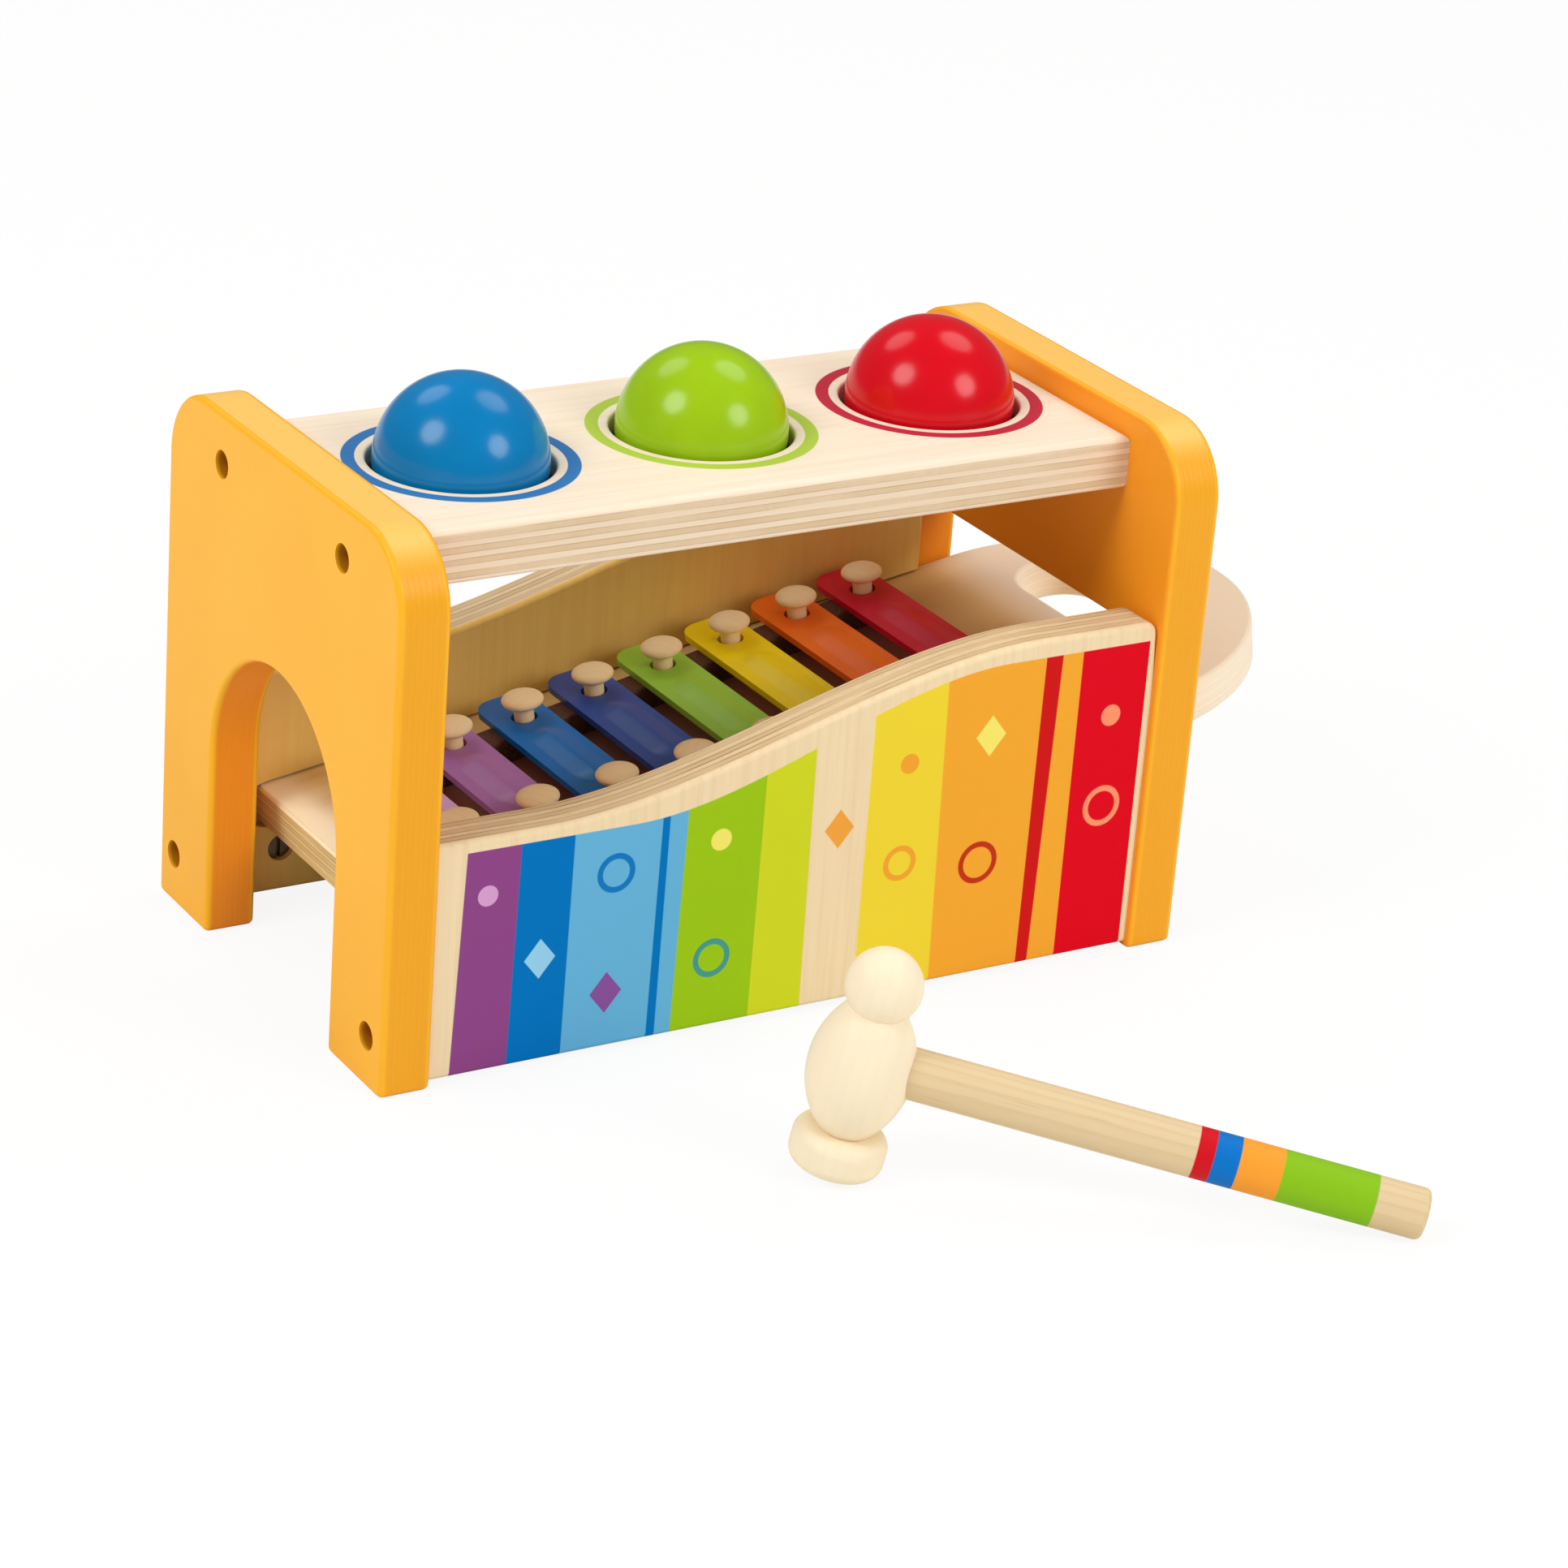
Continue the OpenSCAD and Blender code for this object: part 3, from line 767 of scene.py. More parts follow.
# %% The handle
def handle_profile():
    points = [(0.0, HANDLE_IN), (HANDLE_R, HANDLE_IN)]
    points += turn_about((HANDLE_R - HANDLE_EDGE, HANDLE_END - HANDLE_EDGE), HANDLE_EDGE, 0, 90, 6)
    points.append((0.0, HANDLE_END))
    return points


handle = lathe("mallet_handle_banded", handle_profile(), 64)
lay(handle, MALLET @ Matrix.Rotation(math.pi / 2, 4, "Y"))
soften(handle)
stand_for(handle, "mallet_handle", "mallet", "turned_wood")

# %% [markdown]
# ## Shader sums in plain Python
# A finish is easier to read as a formula than as a web of nodes. Value wraps one socket, and
# every sum on it adds a Math node, so a mask can be written as 1 - step. Finish holds a material,
# or the world, and makes any other node with one method. In the formulas below, the factor on a
# coordinate says how many features of the noise fit into a millimetre.

# %% Values
def sums(operation):
    """A method that joins two values in one Math node."""
    return lambda a, b: a.finish.maths(operation, a, b)


class Value:
    """A number, colour or vector that changes over a surface."""

    def __init__(self, finish, socket):
        self.finish = finish
        self.socket = socket

    __add__ = __radd__ = sums("ADD")
    __mul__ = __rmul__ = sums("MULTIPLY")
    __sub__ = sums("SUBTRACT")
    __truediv__ = sums("DIVIDE")
    __mod__ = sums("FLOORED_MODULO")

    def __rsub__(self, other):
        return self.finish.maths("SUBTRACT", other, self)

    def __abs__(self):
        return self.finish.maths("ABSOLUTE", self)


# %% Finishes
class Finish:
    """One material, or world, and the nodes of its surface."""

    def __init__(self, name, store="materials", shader="Principled BSDF"):
        self.material = getattr(bpy.data, store).new(name)
        self.material.use_nodes = True
        self.tree = self.material.node_tree
        self.shader = self.tree.nodes[shader]

    def feed(self, socket, value):
        if isinstance(value, Value):
            self.tree.links.new(value.socket, socket)
        else:
            socket.default_value = value

    def node(self, kind, settings, sockets, out=0):
        made = self.tree.nodes.new(kind)
        for name, setting in settings.items():
            setattr(made, name, setting)
        for name, value in sockets.items():
            self.feed(made.inputs[name], value)
        return Value(self, made.outputs[out])

    def maths(self, operation, *numbers):
        return self.node("ShaderNodeMath", {"operation": operation}, dict(enumerate(numbers)))

    def mix(self, share, a, b):
        """A colour between two, by a share from 0 to 1."""
        return self.node("ShaderNodeMix", {"data_type": "RGBA"}, {0: share, 6: a, 7: b}, 2)

    def step(self, value, low, high):
        """0 below low, 1 above high and smooth between; the other way round if low is higher."""
        edges = {"Value": value, "From Min": low, "From Max": high}
        return self.node("ShaderNodeMapRange", {"interpolation_type": "SMOOTHSTEP"}, edges)

    def where(self, at=(0.0, 0.0, 0.0), turn=(0.0, 0.0, 0.0)):
        """Three coordinates in millimetres, from a point and along axes turned with the piece."""
        point = self.node("ShaderNodeTexCoord", {}, {}, "Object")
        place = {
            "Vector": point,
            "Location": tuple(v * MM for v in at),
            "Rotation": tuple(turn),
            "Scale": (MM, MM, MM),
        }
        local = self.node("ShaderNodeMapping", {"vector_type": "TEXTURE"}, place)
        parts = self.node("ShaderNodeSeparateXYZ", {}, {"Vector": local})
        return [Value(self, out) for out in parts.socket.node.outputs]

    def noise(self, x, y, z, detail=3.0, rough=0.5):
        """Soft noise, from 0 to 1, with features about one unit across."""
        point = self.node("ShaderNodeCombineXYZ", {}, {0: x, 1: y, 2: z})
        look = {"Vector": point, "Scale": 1.0, "Detail": detail, "Roughness": rough}
        return self.node("ShaderNodeTexNoise", {}, look)

    def distance(self, x, y):
        return self.maths("SQRT", x * x + y * y)

    def surface(self, height=None, relief=0.0, **sockets):
        """Feeds the shader, with a relief of so many millimetres from a height of 0 to 1."""
        if height is not None:
            bump = {"Height": height, "Distance": relief * MM, "Strength": 1.0}
            sockets["Normal"] = self.node("ShaderNodeBump", {}, bump)
        for name, value in sockets.items():
            self.feed(self.shader.inputs[name.replace("_", " ")], value)
        return self.material


# %% Tints and dressing
def tint(red, green, blue):
    """A colour as the eye names it, 0 to 255 for each part, as light for a shader."""
    parts = []
    for level in (red / 255, green / 255, blue / 255):
        parts.append(level / 12.92 if level <= 0.04045 else ((level + 0.055) / 1.055) ** 2.4)
    return (*parts, 1.0)


def dress(material, *pieces):
    """Gives pieces, or solids by name, one material all over."""
    for piece in pieces:
        mesh = (NODES[piece] if isinstance(piece, str) else piece).data
        mesh.materials.clear()
        mesh.materials.append(material)


# %% [markdown]
# ## Birch plywood
# Plywood is the same all through: thin sheets with the grain turned by a quarter from one to
# the next. So its material is a solid one. It asks how deep a point lies below the face, works
# out which sheet that is, and draws the grain along or across. The striped edge then appears by
# itself wherever a saw or a sanding block went through the sheets.

# %% Grain and glue lines
BARE_BIRCH = tint(240, 218, 178), tint(229, 201, 157)
BIRCH_END = tint(203, 171, 122)
BIRCH_PORE = tint(190, 152, 106)
GLUE = tint(148, 112, 70)
SHEETS = 9
SIDE_SHEETS = 7


def birch(finish, along, across, depth, thickness, sheets, tones, glue=0.4):
    """Colour and relief of plywood, with the face grain running along."""
    sway = finish.noise(along * 0.02, across * 0.02, depth * 0.1, 1.0)
    level = (depth + (sway - 0.5) * 0.35) * (sheets / thickness)
    level = finish.maths("MAXIMUM", finish.maths("MINIMUM", level, sheets - 0.01), 0.01)
    index = finish.maths("FLOOR", level)
    turned_sheet = index % 2.0
    run = 0.012 + turned_sheet * 0.5
    spread = 0.4 - turned_sheet * 0.388
    shift = index * 17.3
    streak = finish.noise(along * run + shift, across * spread, depth * 0.4, 4.0, 0.6)
    pores = finish.noise(along * run * 3.0, across * spread * 5.0 + shift, depth * 2.2, 2.0, 0.6)
    cloud = finish.noise(along * 0.015, across * 0.03, shift, 2.0)
    wood = finish.mix(finish.step(streak, 0.36, 0.74) * 0.6, *tones)
    wood = finish.mix(finish.step(cloud, 0.35, 0.8) * 0.25, wood, tones[1])
    wood = finish.mix(finish.step(pores, 0.62, 0.78) * 0.16, wood, BIRCH_PORE)
    end_grain = finish.step(abs(level % 2.0 - 1.5), 0.62, 0.38)
    patchy = finish.noise(along * 0.03, across * 0.03, shift, 2.0)
    buried = finish.step(level, 0.55, 0.95) * finish.step(level, sheets - 0.55, sheets - 0.95)
    wood = finish.mix(buried * 0.2 + end_grain * (0.12 + patchy * 0.5), wood, BIRCH_END)
    joint = finish.step(abs(level - index - 0.5), 0.37, 0.45) * finish.step(patchy, 0.35, 0.6)
    wood = finish.mix(joint * buried * glue, wood, GLUE)
    return wood, streak * 0.6 + pores * 0.4


def lacquered(finish, colour, relief, height=0.05, shine=0.25):
    """A thin clear lacquer, which lets a little of the grain be felt."""
    looks = {"Base_Color": colour, "Roughness": 0.44 + relief * 0.16}
    return finish.surface(relief, height, Specular_IOR_Level=shine, **looks)


# %% [markdown]
# The back panel's inner face lies in shade, and a honey tone is painted on it as painted shade;
# its edges are bare. The sliding board is a warmer birch, as painted shade for its place under the
# plank, and carries more painted shade: dark under the keys, between the felt rails, and deeper
# where the high end stays under the plank. Painted light makes it pale at the grip and at the low
# end, which lie out in the light. A pair of numbers below says where a tone starts and where it
# is full.

# %% The back panel and the sliding board
# Painted shade: a honey tone for the back panel's inner face, which lies in shade.
SHADED_HONEY_BIRCH = tint(249, 210, 114), tint(243, 196, 100)
# Painted shade: a warmer copy of the birch for the board, which lies under the plank.
SHADED_WARM_BIRCH = tint(241, 213, 148), tint(231, 196, 126)
# Painted shade: a dark tone for the board's top under the keys.
KEY_SHADE = tint(176, 112, 98)
KEY_SHADE_EDGE = 2.0
TOP_FACE = -1.2, -0.5
# Painted shade deepens the high end under the plank; painted light pales the low end in the arch.
LIGHT_AND_SHADE_ZONES = [
    ((84.0, 90.0), 0.75, tint(204, 160, 94)),
    ((-84.0, -94.0), 0.9, tint(255, 240, 204)),
]
# Painted light: the grip end, out in the light, is made pale.
LIT_GRIP_ZONE = 105.0, 129.0
LIT_GRIP_BIRCH = tint(250, 236, 216)

plain = Finish("plain_birch_ply")
x, y, z = plain.where()
depth = SIDE_OUT - y
# Painted shade: the inner face takes the honey tone.
shaded_inner_face = plain.step(depth, SIDE_T - SIDE_RIM_R, SIDE_T - SIDE_RIM_R / 2)
tones = [plain.mix(shaded_inner_face, *pair) for pair in zip(BARE_BIRCH, SHADED_HONEY_BIRCH)]
colour, relief = birch(plain, z, x, depth, SIDE_T, SIDE_SHEETS, tones, glue=0.7)
dress(lacquered(plain, colour, relief), back)

slope = Finish("slide_birch_ply")
u, v, w = slope.where((0.0, 0.0, BOARD_MID_Z), (0.0, -SLOPE, 0.0))
# The board's birch is the warmer copy, as painted shade.
colour, relief = birch(slope, u, v, w * -1.0, BOARD_T, SHEETS, SHADED_WARM_BIRCH, glue=0.85)
on_top = slope.step(w, *TOP_FACE)
row = peg_y(7) + (u - key_mid(7)) * math.tan(ROW_TURN)
# Painted shade under the keys, between the felt rails, on the top face only.
shade_under_keys = slope.step(row - abs(v), -KEY_SHADE_EDGE, KEY_SHADE_EDGE) * on_top
shade_under_keys = shade_under_keys * slope.step(u, key_mid(7) - KEY_W, key_mid(7) - KEY_W / 2)
shade_under_keys = shade_under_keys * slope.step(u, key_mid(0) + KEY_W, key_mid(0) + KEY_W / 2)
colour = slope.mix(shade_under_keys * 0.9, colour, KEY_SHADE)
# Painted shade at the high end and painted light at the low end, on the top face.
for zone, share, tone in LIGHT_AND_SHADE_ZONES:
    colour = slope.mix(slope.step(u, *zone) * on_top * share, colour, tone)
# Painted light at the grip.
colour = slope.mix(slope.step(u, *LIT_GRIP_ZONE) * 0.75, colour, LIT_GRIP_BIRCH)
dress(lacquered(slope, colour, relief), slide)
print("birch on the back panel and the sliding board")

# %% [markdown]
# Round each ball hole the plank carries a printed ring in the ball's colour, a hint for the
# child of which ball goes where. A ring is a band of distances from the hole's middle, and ink
# only lies on the top face, so the depth below it bounds the print.

# %% The plank and its printed rings
# Painted light: a paler copy of the birch for the plank, whose top lies in full light.
LIT_PALE_BIRCH = tint(246, 229, 206), tint(238, 214, 184)
RING_IN = 26.7
RING_OUT = 30.2
INK_EDGE = 0.16
INK_DEPTH = 0.4, 0.2
RING_INK = {"blue": tint(48, 118, 180), "green": tint(176, 202, 66), "red": tint(192, 36, 60)}


def inside_print(margin):
    """1 where the margin to a print's edge is above 0."""
    return margin.finish.step(margin, -INK_EDGE, INK_EDGE)


plank_ply = Finish("plank_birch_ply")
x, y, z = plank_ply.where()
depth = PLANK_TOP - z
plank_colour, plank_relief = birch(plank_ply, x, y, depth, PLANK_T, SHEETS, LIT_PALE_BIRCH)
for colour, ink in RING_INK.items():
    radius = plank_ply.distance(x - BALL_X[colour], y)
    ring = inside_print(radius - RING_IN) * inside_print(RING_OUT - radius)
    ring = ring * plank_ply.step(depth, *INK_DEPTH)
    plank_colour = plank_ply.mix(ring, plank_colour, ink)
dress(lacquered(plank_ply, plank_colour, plank_relief), plank)
print("rings in", ", ".join(RING_INK))

# %% [markdown]
# ## The printed front
# The front panel is plywood with a rainbow of upright stripes printed on its face. The stripes
# lean a little, so each edge is a line between a place at the bottom and one at the top. The
# print stops short of the panel's top edge on a curve of its own. Small plain motifs, dots,
# rings and diamonds, sit on the stripes.

# %% Stripes
PRINT_LOW = 2.0
PRINT_TOP_LOW = 62.5
PRINT_TOP_HIGH = 89.6
PRINT_RISE = (-50.0, 60.0)
INKS = {
    "purple": tint(140, 70, 134),
    "blue": tint(0, 114, 188),
    "sky": tint(100, 176, 216),
    "green": tint(154, 196, 24),
    "lime": tint(206, 213, 38),
    "yellow": tint(238, 212, 54),
    "orange": tint(241, 167, 50),
    "red": tint(220, 8, 30),
    "crimson": tint(205, 24, 24),
}
STRIPES = [
    ("purple", -99.0, -96.7),
    ("blue", -83.0, -81.7),
    ("sky", -67.6, -66.8),
    ("blue", -43.0, -41.9),
    ("sky", -40.5, -39.8),
    ("green", -36.0, -34.6),
    ("lime", -12.9, -12.3),
    (None, 2.7, 1.9),
    ("yellow", 19.0, 18.9),
    ("orange", 42.3, 40.4),
    ("crimson", 69.7, 70.2),
    ("orange", 73.4, 75.4),
    ("red", 82.0, 81.7),
    (None, 103.1, 102.8),
]


def print_top(x):
    share = (x - PRINT_RISE[0]) / (PRINT_RISE[1] - PRINT_RISE[0])
    return PRINT_TOP_LOW + ease(share) * (PRINT_TOP_HIGH - PRINT_TOP_LOW)


printed = Finish("printed_birch_ply")
x, y, z = printed.where()
depth = y + SIDE_OUT
bare_colour, bare_relief = birch(printed, z, x, depth, SIDE_T, SIDE_SHEETS, BARE_BIRCH, glue=0.85)
print_colour = bare_colour
for ink, low, high in STRIPES:
    lean = (high - low) / (print_top(high) - PRINT_LOW)
    past = x - z * lean - (low - PRINT_LOW * lean)
    colour = bare_colour if ink is None else INKS[ink]
    print_colour = printed.mix(inside_print(past), print_colour, colour)
print(len(STRIPES), "stripe edges")

# %% [markdown]
# A dot is a distance from its middle, a ring is a band of such distances, and a diamond is the
# same with the two offsets added up. Each motif is mixed in over the stripes by its mask.

# %% Motifs
PALE_LILAC = tint(214, 160, 206)
PALE_SKY = tint(150, 208, 236)
TEAL = tint(60, 150, 140)
PLUM = tint(136, 70, 150)
PEACH = tint(250, 150, 110)
LEMON = tint(244, 232, 110)
AMBER = tint(240, 160, 50)
BRICK = tint(190, 32, 24)
MOTIFS = [
    ("dot", -90.5, 50.0, 2.8, PALE_LILAC),
    ("diamond", -75.0, 30.0, 4.4, PALE_SKY),
    ("ring", -54.5, 50.0, 4.6, INKS["blue"]),
    ("diamond", -55.5, 17.0, 4.6, PLUM),
    ("dot", -24.5, 54.0, 3.0, LEMON),
    ("ring", -25.0, 21.0, 4.6, TEAL),
    ("diamond", 10.6, 51.0, 4.4, AMBER),
    ("dot", 30.5, 66.0, 2.8, AMBER),
    ("ring", 30.0, 38.0, 4.2, AMBER),
    ("diamond", 55.0, 70.0, 4.6, LEMON),
    ("ring", 54.5, 34.0, 5.2, BRICK),
    ("dot", 92.5, 70.0, 3.0, PEACH),
    ("ring", 92.5, 44.0, 5.0, PEACH),
]
RING_LINE = 0.8
DIAMOND_SQUASH = 0.8
MOTIF_COVER = 0.95
for kind, mid_x, mid_z, size, ink in MOTIFS:
    across = x - mid_x
    up = z - mid_z
    if kind == "diamond":
        reach = abs(across) + abs(up) * DIAMOND_SQUASH
    else:
        reach = printed.distance(across, up)
    if kind == "ring":
        mask = inside_print(RING_LINE - abs(reach - size))
    else:
        mask = inside_print(size - reach)
    print_colour = printed.mix(mask * MOTIF_COVER, print_colour, ink)
print(len(MOTIFS), "motifs")

# %% The print's bounds
PRINT_DEPTH = 1.0, 0.8
rise = printed.step(x, *PRINT_RISE)
top = PRINT_TOP_LOW + rise * (PRINT_TOP_HIGH - PRINT_TOP_LOW)
inked = inside_print(top - z) * printed.step(depth, *PRINT_DEPTH)
front_colour = printed.mix(inked, bare_colour, print_colour)
dress(lacquered(printed, front_colour, bare_relief, height=0.03, shine=0.03), front)

# %% [markdown]
# ## Paint
# The end panels carry an even coat of warm yellow. Under it the plywood's sheets can still be
# made out on the edges, as faint lines, and the roller leaves a fine orange-peel. Light and shade
# are painted into the coat: a painted sheen makes it pale along the top edge, and painted shade
# makes it deeper on the edge faces, in the openings and on the inner faces, and brown in the bolt
# recesses. The keys and balls have a harder, glossier lacquer. Each paint has its own depth of
# tone, since a single flat colour would read as plastic.

# %% End panel paint
SUNFLOWER = tint(247, 179, 32)
SUNFLOWER_DEEP = tint(234, 155, 22)
# Painted light and shade: a pale sheen for the top edge, a shade tone for the openings and inner
# faces and a shade brown for the bolt recesses.
SUNFLOWER_SHEEN = tint(252, 206, 112)
SUNFLOWER_SHADE = tint(246, 132, 34)
PIT_SHADE_BROWN = tint(150, 78, 10)
EDGE_IN = 1.2, 2.0
SHEEN_TOP_IN = 9.0, 1.0
SKIN_IN = 0.9, 0.1
OPENING_HALF = 58.0, 56.0
OPENING_TOP = 93.0, 91.0


def panel_paint(name, outer_x, inward):
    finish = Finish(name)
    x, y, z = finish.where((outer_x, 0.0, 0.0))
    depth = x * inward
    level = (depth + (finish.noise(y * 0.02, z * 0.02, 0.0, 1.0) - 0.5) * 0.3) * (SHEETS / END_T)
    joint = abs(level % 1.0 - 0.5)
    inside = finish.step(depth, *EDGE_IN) * finish.step(END_T - depth, *EDGE_IN)
    line = finish.step(joint, 0.3, 0.5) * inside
    cloud = finish.noise(x * 0.03, y * 0.02, z * 0.02, 3.0)
    grain = finish.noise(x * 0.4, y * 0.35, z * 0.02, 4.0, 0.6)
    peel = finish.noise(x * 1.4, y * 1.4, z * 1.4, 2.0)
    colour = finish.mix(finish.step(cloud, 0.3, 0.75) * 0.22, SUNFLOWER, SUNFLOWER_DEEP)
    colour = finish.mix(finish.step(grain, 0.55, 0.8) * 0.12, colour, SUNFLOWER_DEEP)
    # Painted shade: the edge faces are made a deeper orange.
    colour = finish.mix(inside * 0.62, colour, SUNFLOWER_DEEP)
    colour = finish.mix(line * 0.3, colour, SUNFLOWER_DEEP)
    # Painted sheen: the top edge is made pale.
    top = inside * finish.step(END_H - z, *SHEEN_TOP_IN)
    colour = finish.mix(top * 0.7, colour, SUNFLOWER_SHEEN)
    # Painted shade in the openings and on the inner face.
    shaded_opening = inside * finish.step(abs(y), *OPENING_HALF) * finish.step(z, *OPENING_TOP)
    shaded_inner_side = finish.step(END_T - depth, *SKIN_IN)
    colour = finish.mix(shaded_opening * 0.6 + shaded_inner_side * 0.55, colour, SUNFLOWER_SHADE)
    # Painted shade in the bolt recesses.
    for across, up in BOLT_PLACES:
        pit_shade = finish.step(finish.distance(y - across, z - up), SINK_R + 0.2, SINK_R - 0.1)
        colour = finish.mix(pit_shade * finish.step(depth, 0.3, 1.2) * 0.8, colour, PIT_SHADE_BROWN)
    return finish.surface(
        height=peel * 0.35 + grain * 0.4 - line * 0.5,
        relief=0.05,
        Base_Color=colour,
        Roughness=0.3 + cloud * 0.1,
        Specular_IOR_Level=0.2,
    )


dress(panel_paint("left_end_paint", -END_X, 1.0), left_end)
dress(panel_paint("right_end_paint", END_X, -1.0), right_end)

# %% Ball and key paint
BALL_TINTS = {"blue": tint(0, 123, 184), "green": tint(156, 196, 15), "red": tint(217, 4, 26)}
KEY_TINTS = {
    "red": tint(216, 18, 58),
    "orange": tint(252, 118, 22),
    "yellow": tint(255, 228, 0),
    "green": tint(158, 212, 68),
    "navy": tint(46, 80, 164),
    "blue": tint(0, 112, 196),
    "purple": tint(178, 114, 182),
    "lilac": tint(212, 162, 214),
}


def gloss_paint(name, colour, rough, relief, shine):
    """A hard lacquer with a slow change of tone and a fine orange-peel."""
    finish = Finish(name)
    x, y, z = finish.where()
    cloud = finish.noise(x * 0.06, y * 0.06, z * 0.06, 3.0)
    peel = finish.noise(x * 0.9, y * 0.9, z * 0.9, 2.0)
    deep = tuple(part * 0.82 for part in colour[:3]) + (1.0,)
    toned = finish.mix(finish.step(cloud, 0.3, 0.75) * 0.5, colour, deep)
    return finish.surface(
        height=peel,
        relief=relief,
        Base_Color=toned,
        Roughness=rough + cloud * 0.08,
        Specular_IOR_Level=shine,
    )


BALL_GLOSS = {"rough": 0.15, "relief": 0.012, "shine": 0.3}
KEY_GLOSS = {"rough": 0.28, "relief": 0.01, "shine": 0.4}
for colour, paint in BALL_TINTS.items():
    dress(gloss_paint(colour + "_ball_lacquer", paint, **BALL_GLOSS), balls[colour])
for colour, paint in KEY_TINTS.items():
    dress(gloss_paint(colour + "_key_lacquer", paint, **KEY_GLOSS), keys[colour])
print(len(BALL_TINTS), "balls and", len(KEY_TINTS), "keys painted")

# %% [markdown]
# ## Turned wood
# Pegs and mallet are turned from pale solid wood. Its year rings are nested tubes along the
# grain, here wavy bands of the distance from an axis outside the piece, with fine pores drawn
# out along it. The handle's grain runs along its length, the head's along its own axis.

# %% Pegs, mallet head and handle
MAPLE = tint(246, 230, 198), tint(230, 204, 160)
WARM_MAPLE = tint(247, 217, 166), tint(231, 193, 136)
MAPLE_PORE = tint(196, 158, 112)
HEART = 31.0, 9.0


def turned(finish, along, a, b, ring, figure, tones):
    """Colour and relief of solid wood, with its grain along one coordinate."""
    wobble = finish.noise(along * 0.01, a * 0.06, b * 0.06, 2.0) * 3.0
    radius = finish.distance(a + HEART[0], b + HEART[1]) + wobble
    phase = radius / ring % 1.0
    late = finish.step(phase, 0.35, 0.9) * finish.step(phase, 1.0, 0.9)
    pores = finish.noise(along * 0.06, a * 2.4, b * 2.4, 3.0, 0.6)
    fleck = finish.step(pores, 0.6, 0.75)
    wood = finish.mix(late * figure, *tones)
    wood = finish.mix(fleck * figure, wood, MAPLE_PORE)
    return wood, pores * 0.7 + late * 0.3


peg_wood = Finish("peg_maple")
u, v, w = peg_wood.where((0.0, 0.0, BOARD_MID_Z), (0.0, -SLOPE, 0.0))
colour, relief = turned(peg_wood, w, u, v, ring=2.6, figure=0.15, tones=WARM_MAPLE)
dress(lacquered(peg_wood, colour, relief, height=0.03), *pegs)

head_wood = Finish("mallet_head_maple")
u, v, w = head_wood.where(MALLET_PLACE, MALLET_EULER)
colour, relief = turned(head_wood, w, u, v, ring=3.4, figure=0.06, tones=MAPLE)
dress(lacquered(head_wood, colour, relief, height=0.03), head)

# %% [markdown]
# The handle's bands are printed round the dowel, one after the other along its length.

# %% The handle's bands
TAN_MAPLE = tint(222, 198, 155), tint(208, 180, 134)
BANDS = [
    (82.7, tint(206, 12, 28)),
    (87.0, tint(0, 112, 194)),
    (93.2, tint(242, 156, 48)),
    (103.9, tint(134, 188, 24)),
    (127.3, None),
]
banded = Finish("banded_handle_maple")
u, v, w = banded.where(MALLET_PLACE, MALLET_EULER)
bare, relief = turned(banded, u, v, w, ring=2.2, figure=0.42, tones=TAN_MAPLE)
colour = bare
for start, ink in BANDS:
    colour = banded.mix(inside_print(u - start), colour, bare if ink is None else ink)
dress(lacquered(banded, colour, relief, height=0.03, shine=0.12), handle)

# %% [markdown]
# ## Felt, rubber and steel
# The small things: felt is a mat of fibres, rough and uneven; the rings that grip the balls are
# dull black rubber; bolts and nuts are plated steel with fine turning marks.

# %% Small parts
felt_mat = Finish("felt_mat")
x, y, z = felt_mat.where()
fibre = felt_mat.noise(x * 1.6, y * 1.6, z * 1.6, 5.0, 0.7)
colour = felt_mat.mix(felt_mat.step(fibre, 0.3, 0.7), tint(88, 56, 44), tint(116, 78, 60))
felt_mat.surface(fibre, 0.5, Base_Color=colour, Roughness=0.95, Specular_IOR_Level=0.1)
dress(felt_mat.material, *felts)

rubber = Finish("ring_rubber")
x, y, z = rubber.where()
bloom = rubber.noise(x * 0.3, y * 0.3, z * 0.3, 3.0)
colour = rubber.mix(bloom, tint(34, 30, 28), tint(64, 58, 54))
rubber.surface(bloom, 0.05, Base_Color=colour, Roughness=0.6 + bloom * 0.2)
dress(rubber.material, *(name + "_ball_ring" for name in BALL_X))

steel = Finish("plated_steel")
x, y, z = steel.where()
marks = steel.noise(x * 4.0, y * 0.6, z * 0.6, 3.0)
colour = steel.mix(marks, tint(92, 78, 66), tint(132, 116, 100))
steel.surface(marks, 0.02, Base_Color=colour, Roughness=0.28 + marks * 0.2, Metallic=1.0)
for end in ("left", "right"):
    dress(steel.material, end + "_end_bolts", end + "_barrel_nuts")

# %% [markdown]
# ## Floor and light
# The bench stands on a plain white floor under large soft lamps, as for a catalogue. The floor
# shows white to the camera, but keeps the shadow, because only a part of it is bright by itself.
# Reflections see a dimmer room than matt surfaces do, which keeps the lacquer's colours deep.

# %% A white floor
FLOOR_SIZE = 12.0
FLOOR_DROP = 0.0002
FLOOR_GLOW = 0.9
start_clean()
bpy.ops.mesh.primitive_plane_add(size=FLOOR_SIZE, location=(0.0, 0.0, -FLOOR_DROP))
floor = named("floor")
ground = Finish("white_floor")
share = ground.node("ShaderNodeLightPath", {}, {}, "Is Camera Ray") * FLOOR_GLOW
ground.surface(Base_Color=tint(246, 245, 243), Roughness=0.9, Specular_IOR_Level=0.1)
glow = ground.node("ShaderNodeEmission", {}, {"Color": (1.0, 1.0, 1.0, 1.0), "Strength": 1.0})
matt = Value(ground, ground.shader.outputs[0])
both = ground.node("ShaderNodeMixShader", {}, {0: share, 1: matt, 2: glow})
ground.feed(ground.tree.nodes["Material Output"].inputs["Surface"], both)
dress(ground.material, floor)

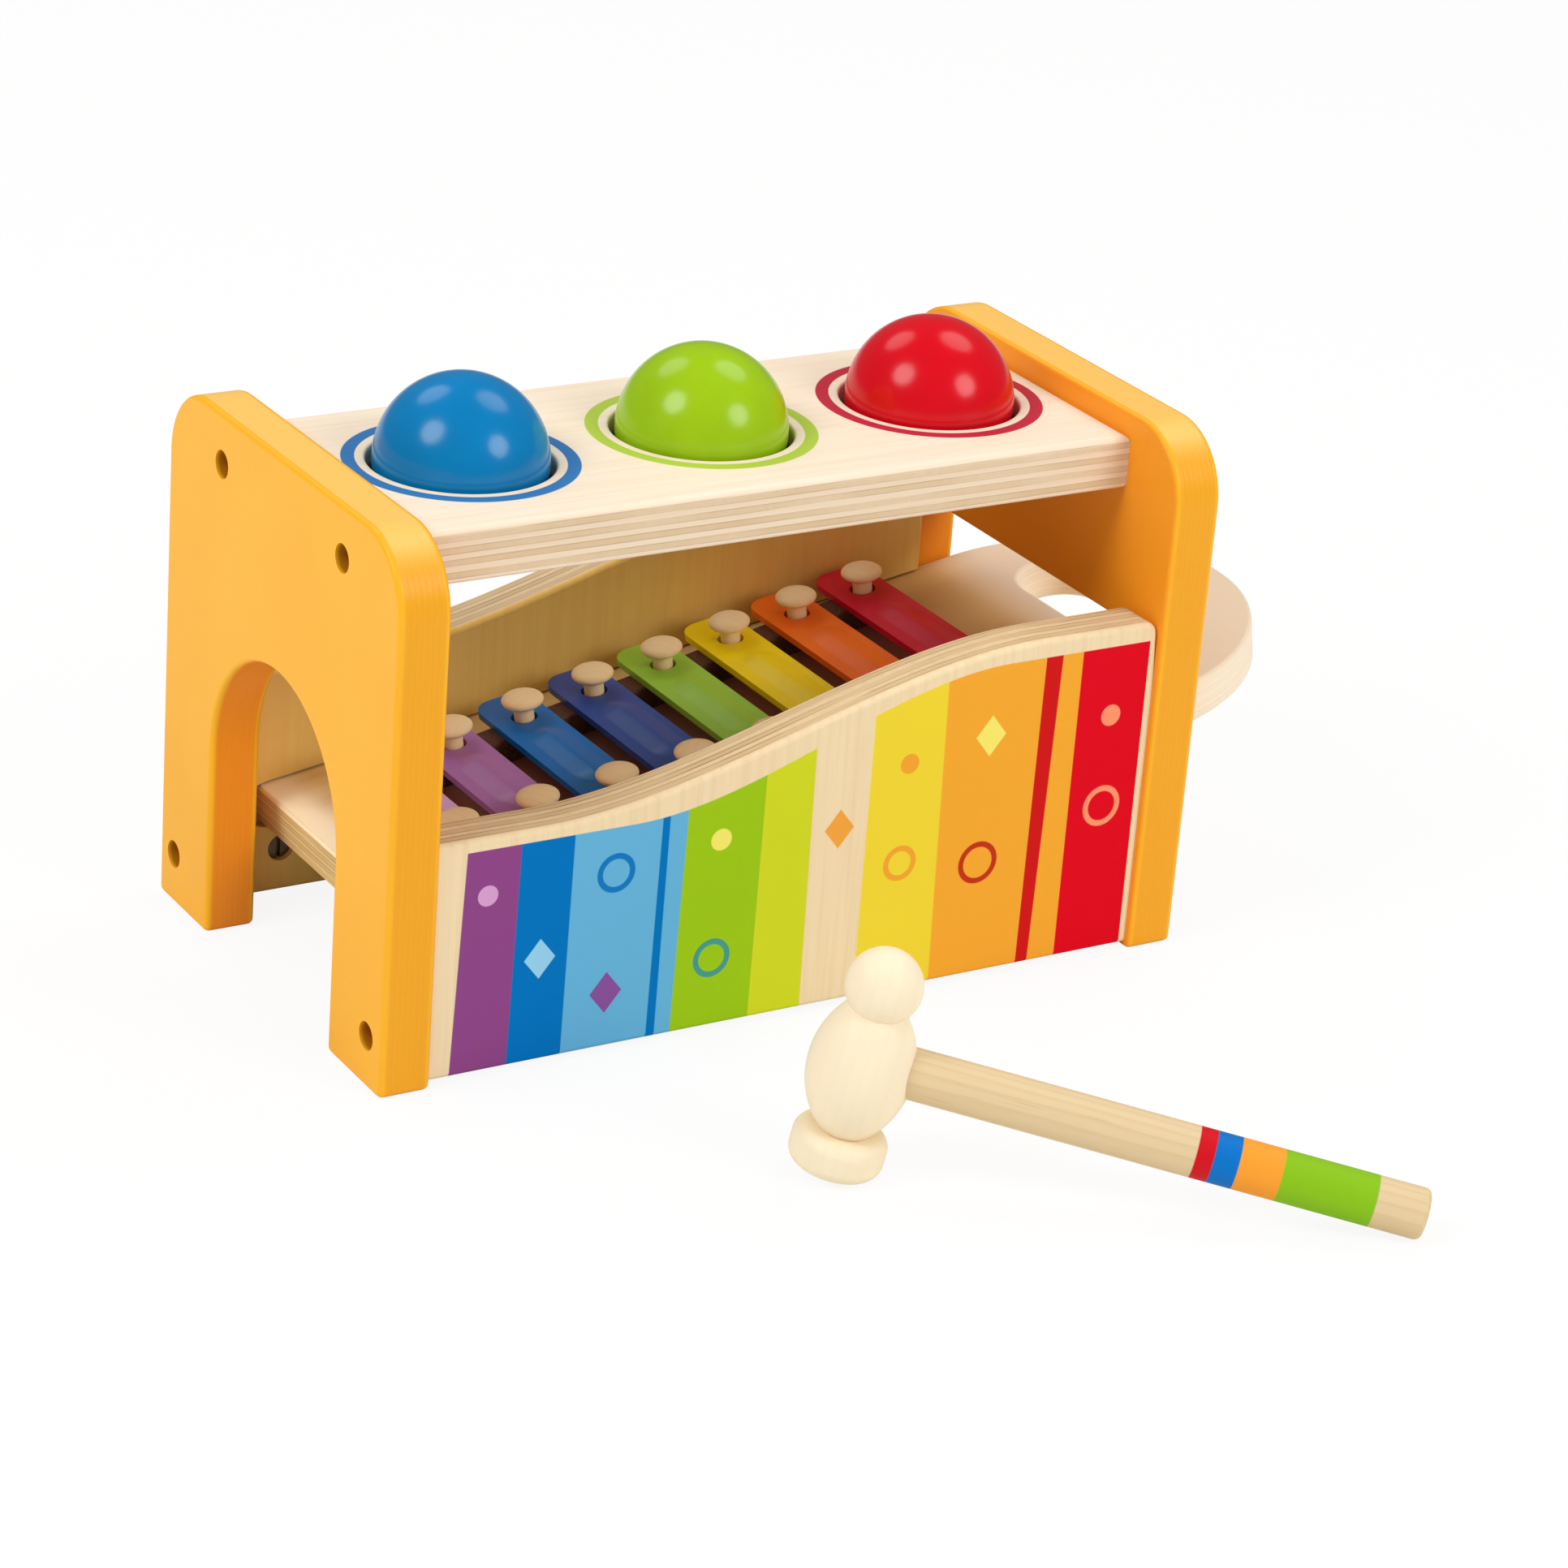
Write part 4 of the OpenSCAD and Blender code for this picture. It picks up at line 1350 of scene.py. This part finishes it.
# %% Lamps and world
LAMPS = [
    ("softbox_left", (-1.24, -0.13, 1.28), 0.85, 13.0),
    ("softbox_front", (0.65, -1.33, 1.00), 0.8, 10.5),
    ("strip_behind", (-0.35, 1.35, 1.70), 1.0, 6.0),
    ("strip_right", (1.10, 0.26, 1.89), 1.1, 8.5),
]
AIM = Vector((0.0, 0.0, 0.07))
ROOM_FILL = 0.48
ROOM_REFLECTED = 0.15
BACKDROP = 1.0
for name, at, size, power in LAMPS:
    start_clean()
    bpy.ops.object.light_add(type="AREA", location=at)
    lamp = bpy.context.object
    lamp.name = name
    lamp.data.shape = "DISK"
    lamp.data.size = size
    lamp.data.energy = power
    lamp.rotation_euler = (AIM - Vector(at)).to_track_quat("-Z", "Y").to_euler()

studio = Finish("studio", "worlds", "Background")
bpy.context.scene.world = studio.material
glossy = studio.node("ShaderNodeLightPath", {}, {}, "Is Glossy Ray")
room = {"Value": glossy, "To Min": ROOM_FILL, "To Max": ROOM_REFLECTED}
room = studio.node("ShaderNodeMapRange", {}, room)
direct = studio.node("ShaderNodeLightPath", {}, {}, "Is Camera Ray")
seen = {"Value": direct, "To Min": room, "To Max": BACKDROP}
seen = studio.node("ShaderNodeMapRange", {}, seen)
studio.surface(Color=(1.0, 1.0, 1.0, 1.0), Strength=seen)
bpy.context.scene.view_settings.view_transform = "Standard"

# %% [markdown]
# ## Camera
# The photograph was taken from the front left with a long lens, tilted by a few degrees. The
# angles below were solved from the bench's own straight edges.

# %% The photograph's view
FRAME_PX = 1932
FOCAL_PX = 5947.8
SENSOR = 36.0
EYE = -608.7, -1003.4, 555.7
AZIMUTH = math.radians(-32.63)
ELEVATION = math.radians(23.68)
ROLL = math.radians(4.56)

start_clean()
bpy.ops.object.camera_add()
camera = bpy.context.object
camera.name = "photo_view"
camera.data.sensor_fit = "HORIZONTAL"
camera.data.sensor_width = SENSOR
camera.data.lens = FOCAL_PX / FRAME_PX * SENSOR
pan = Matrix.Rotation(AZIMUTH, 4, "Z")
tilt = Matrix.Rotation(math.pi / 2 - ELEVATION, 4, "X")
camera.matrix_world = move(*EYE) @ pan @ tilt @ Matrix.Rotation(ROLL, 4, "Z")
bpy.context.scene.camera = camera
print("lens of", round(camera.data.lens, 1), "mm")

# %% [markdown]
# ## Clearing up
# The dressed model has to stay within the solids' box.

# %% Leave nothing selected
start_clean()
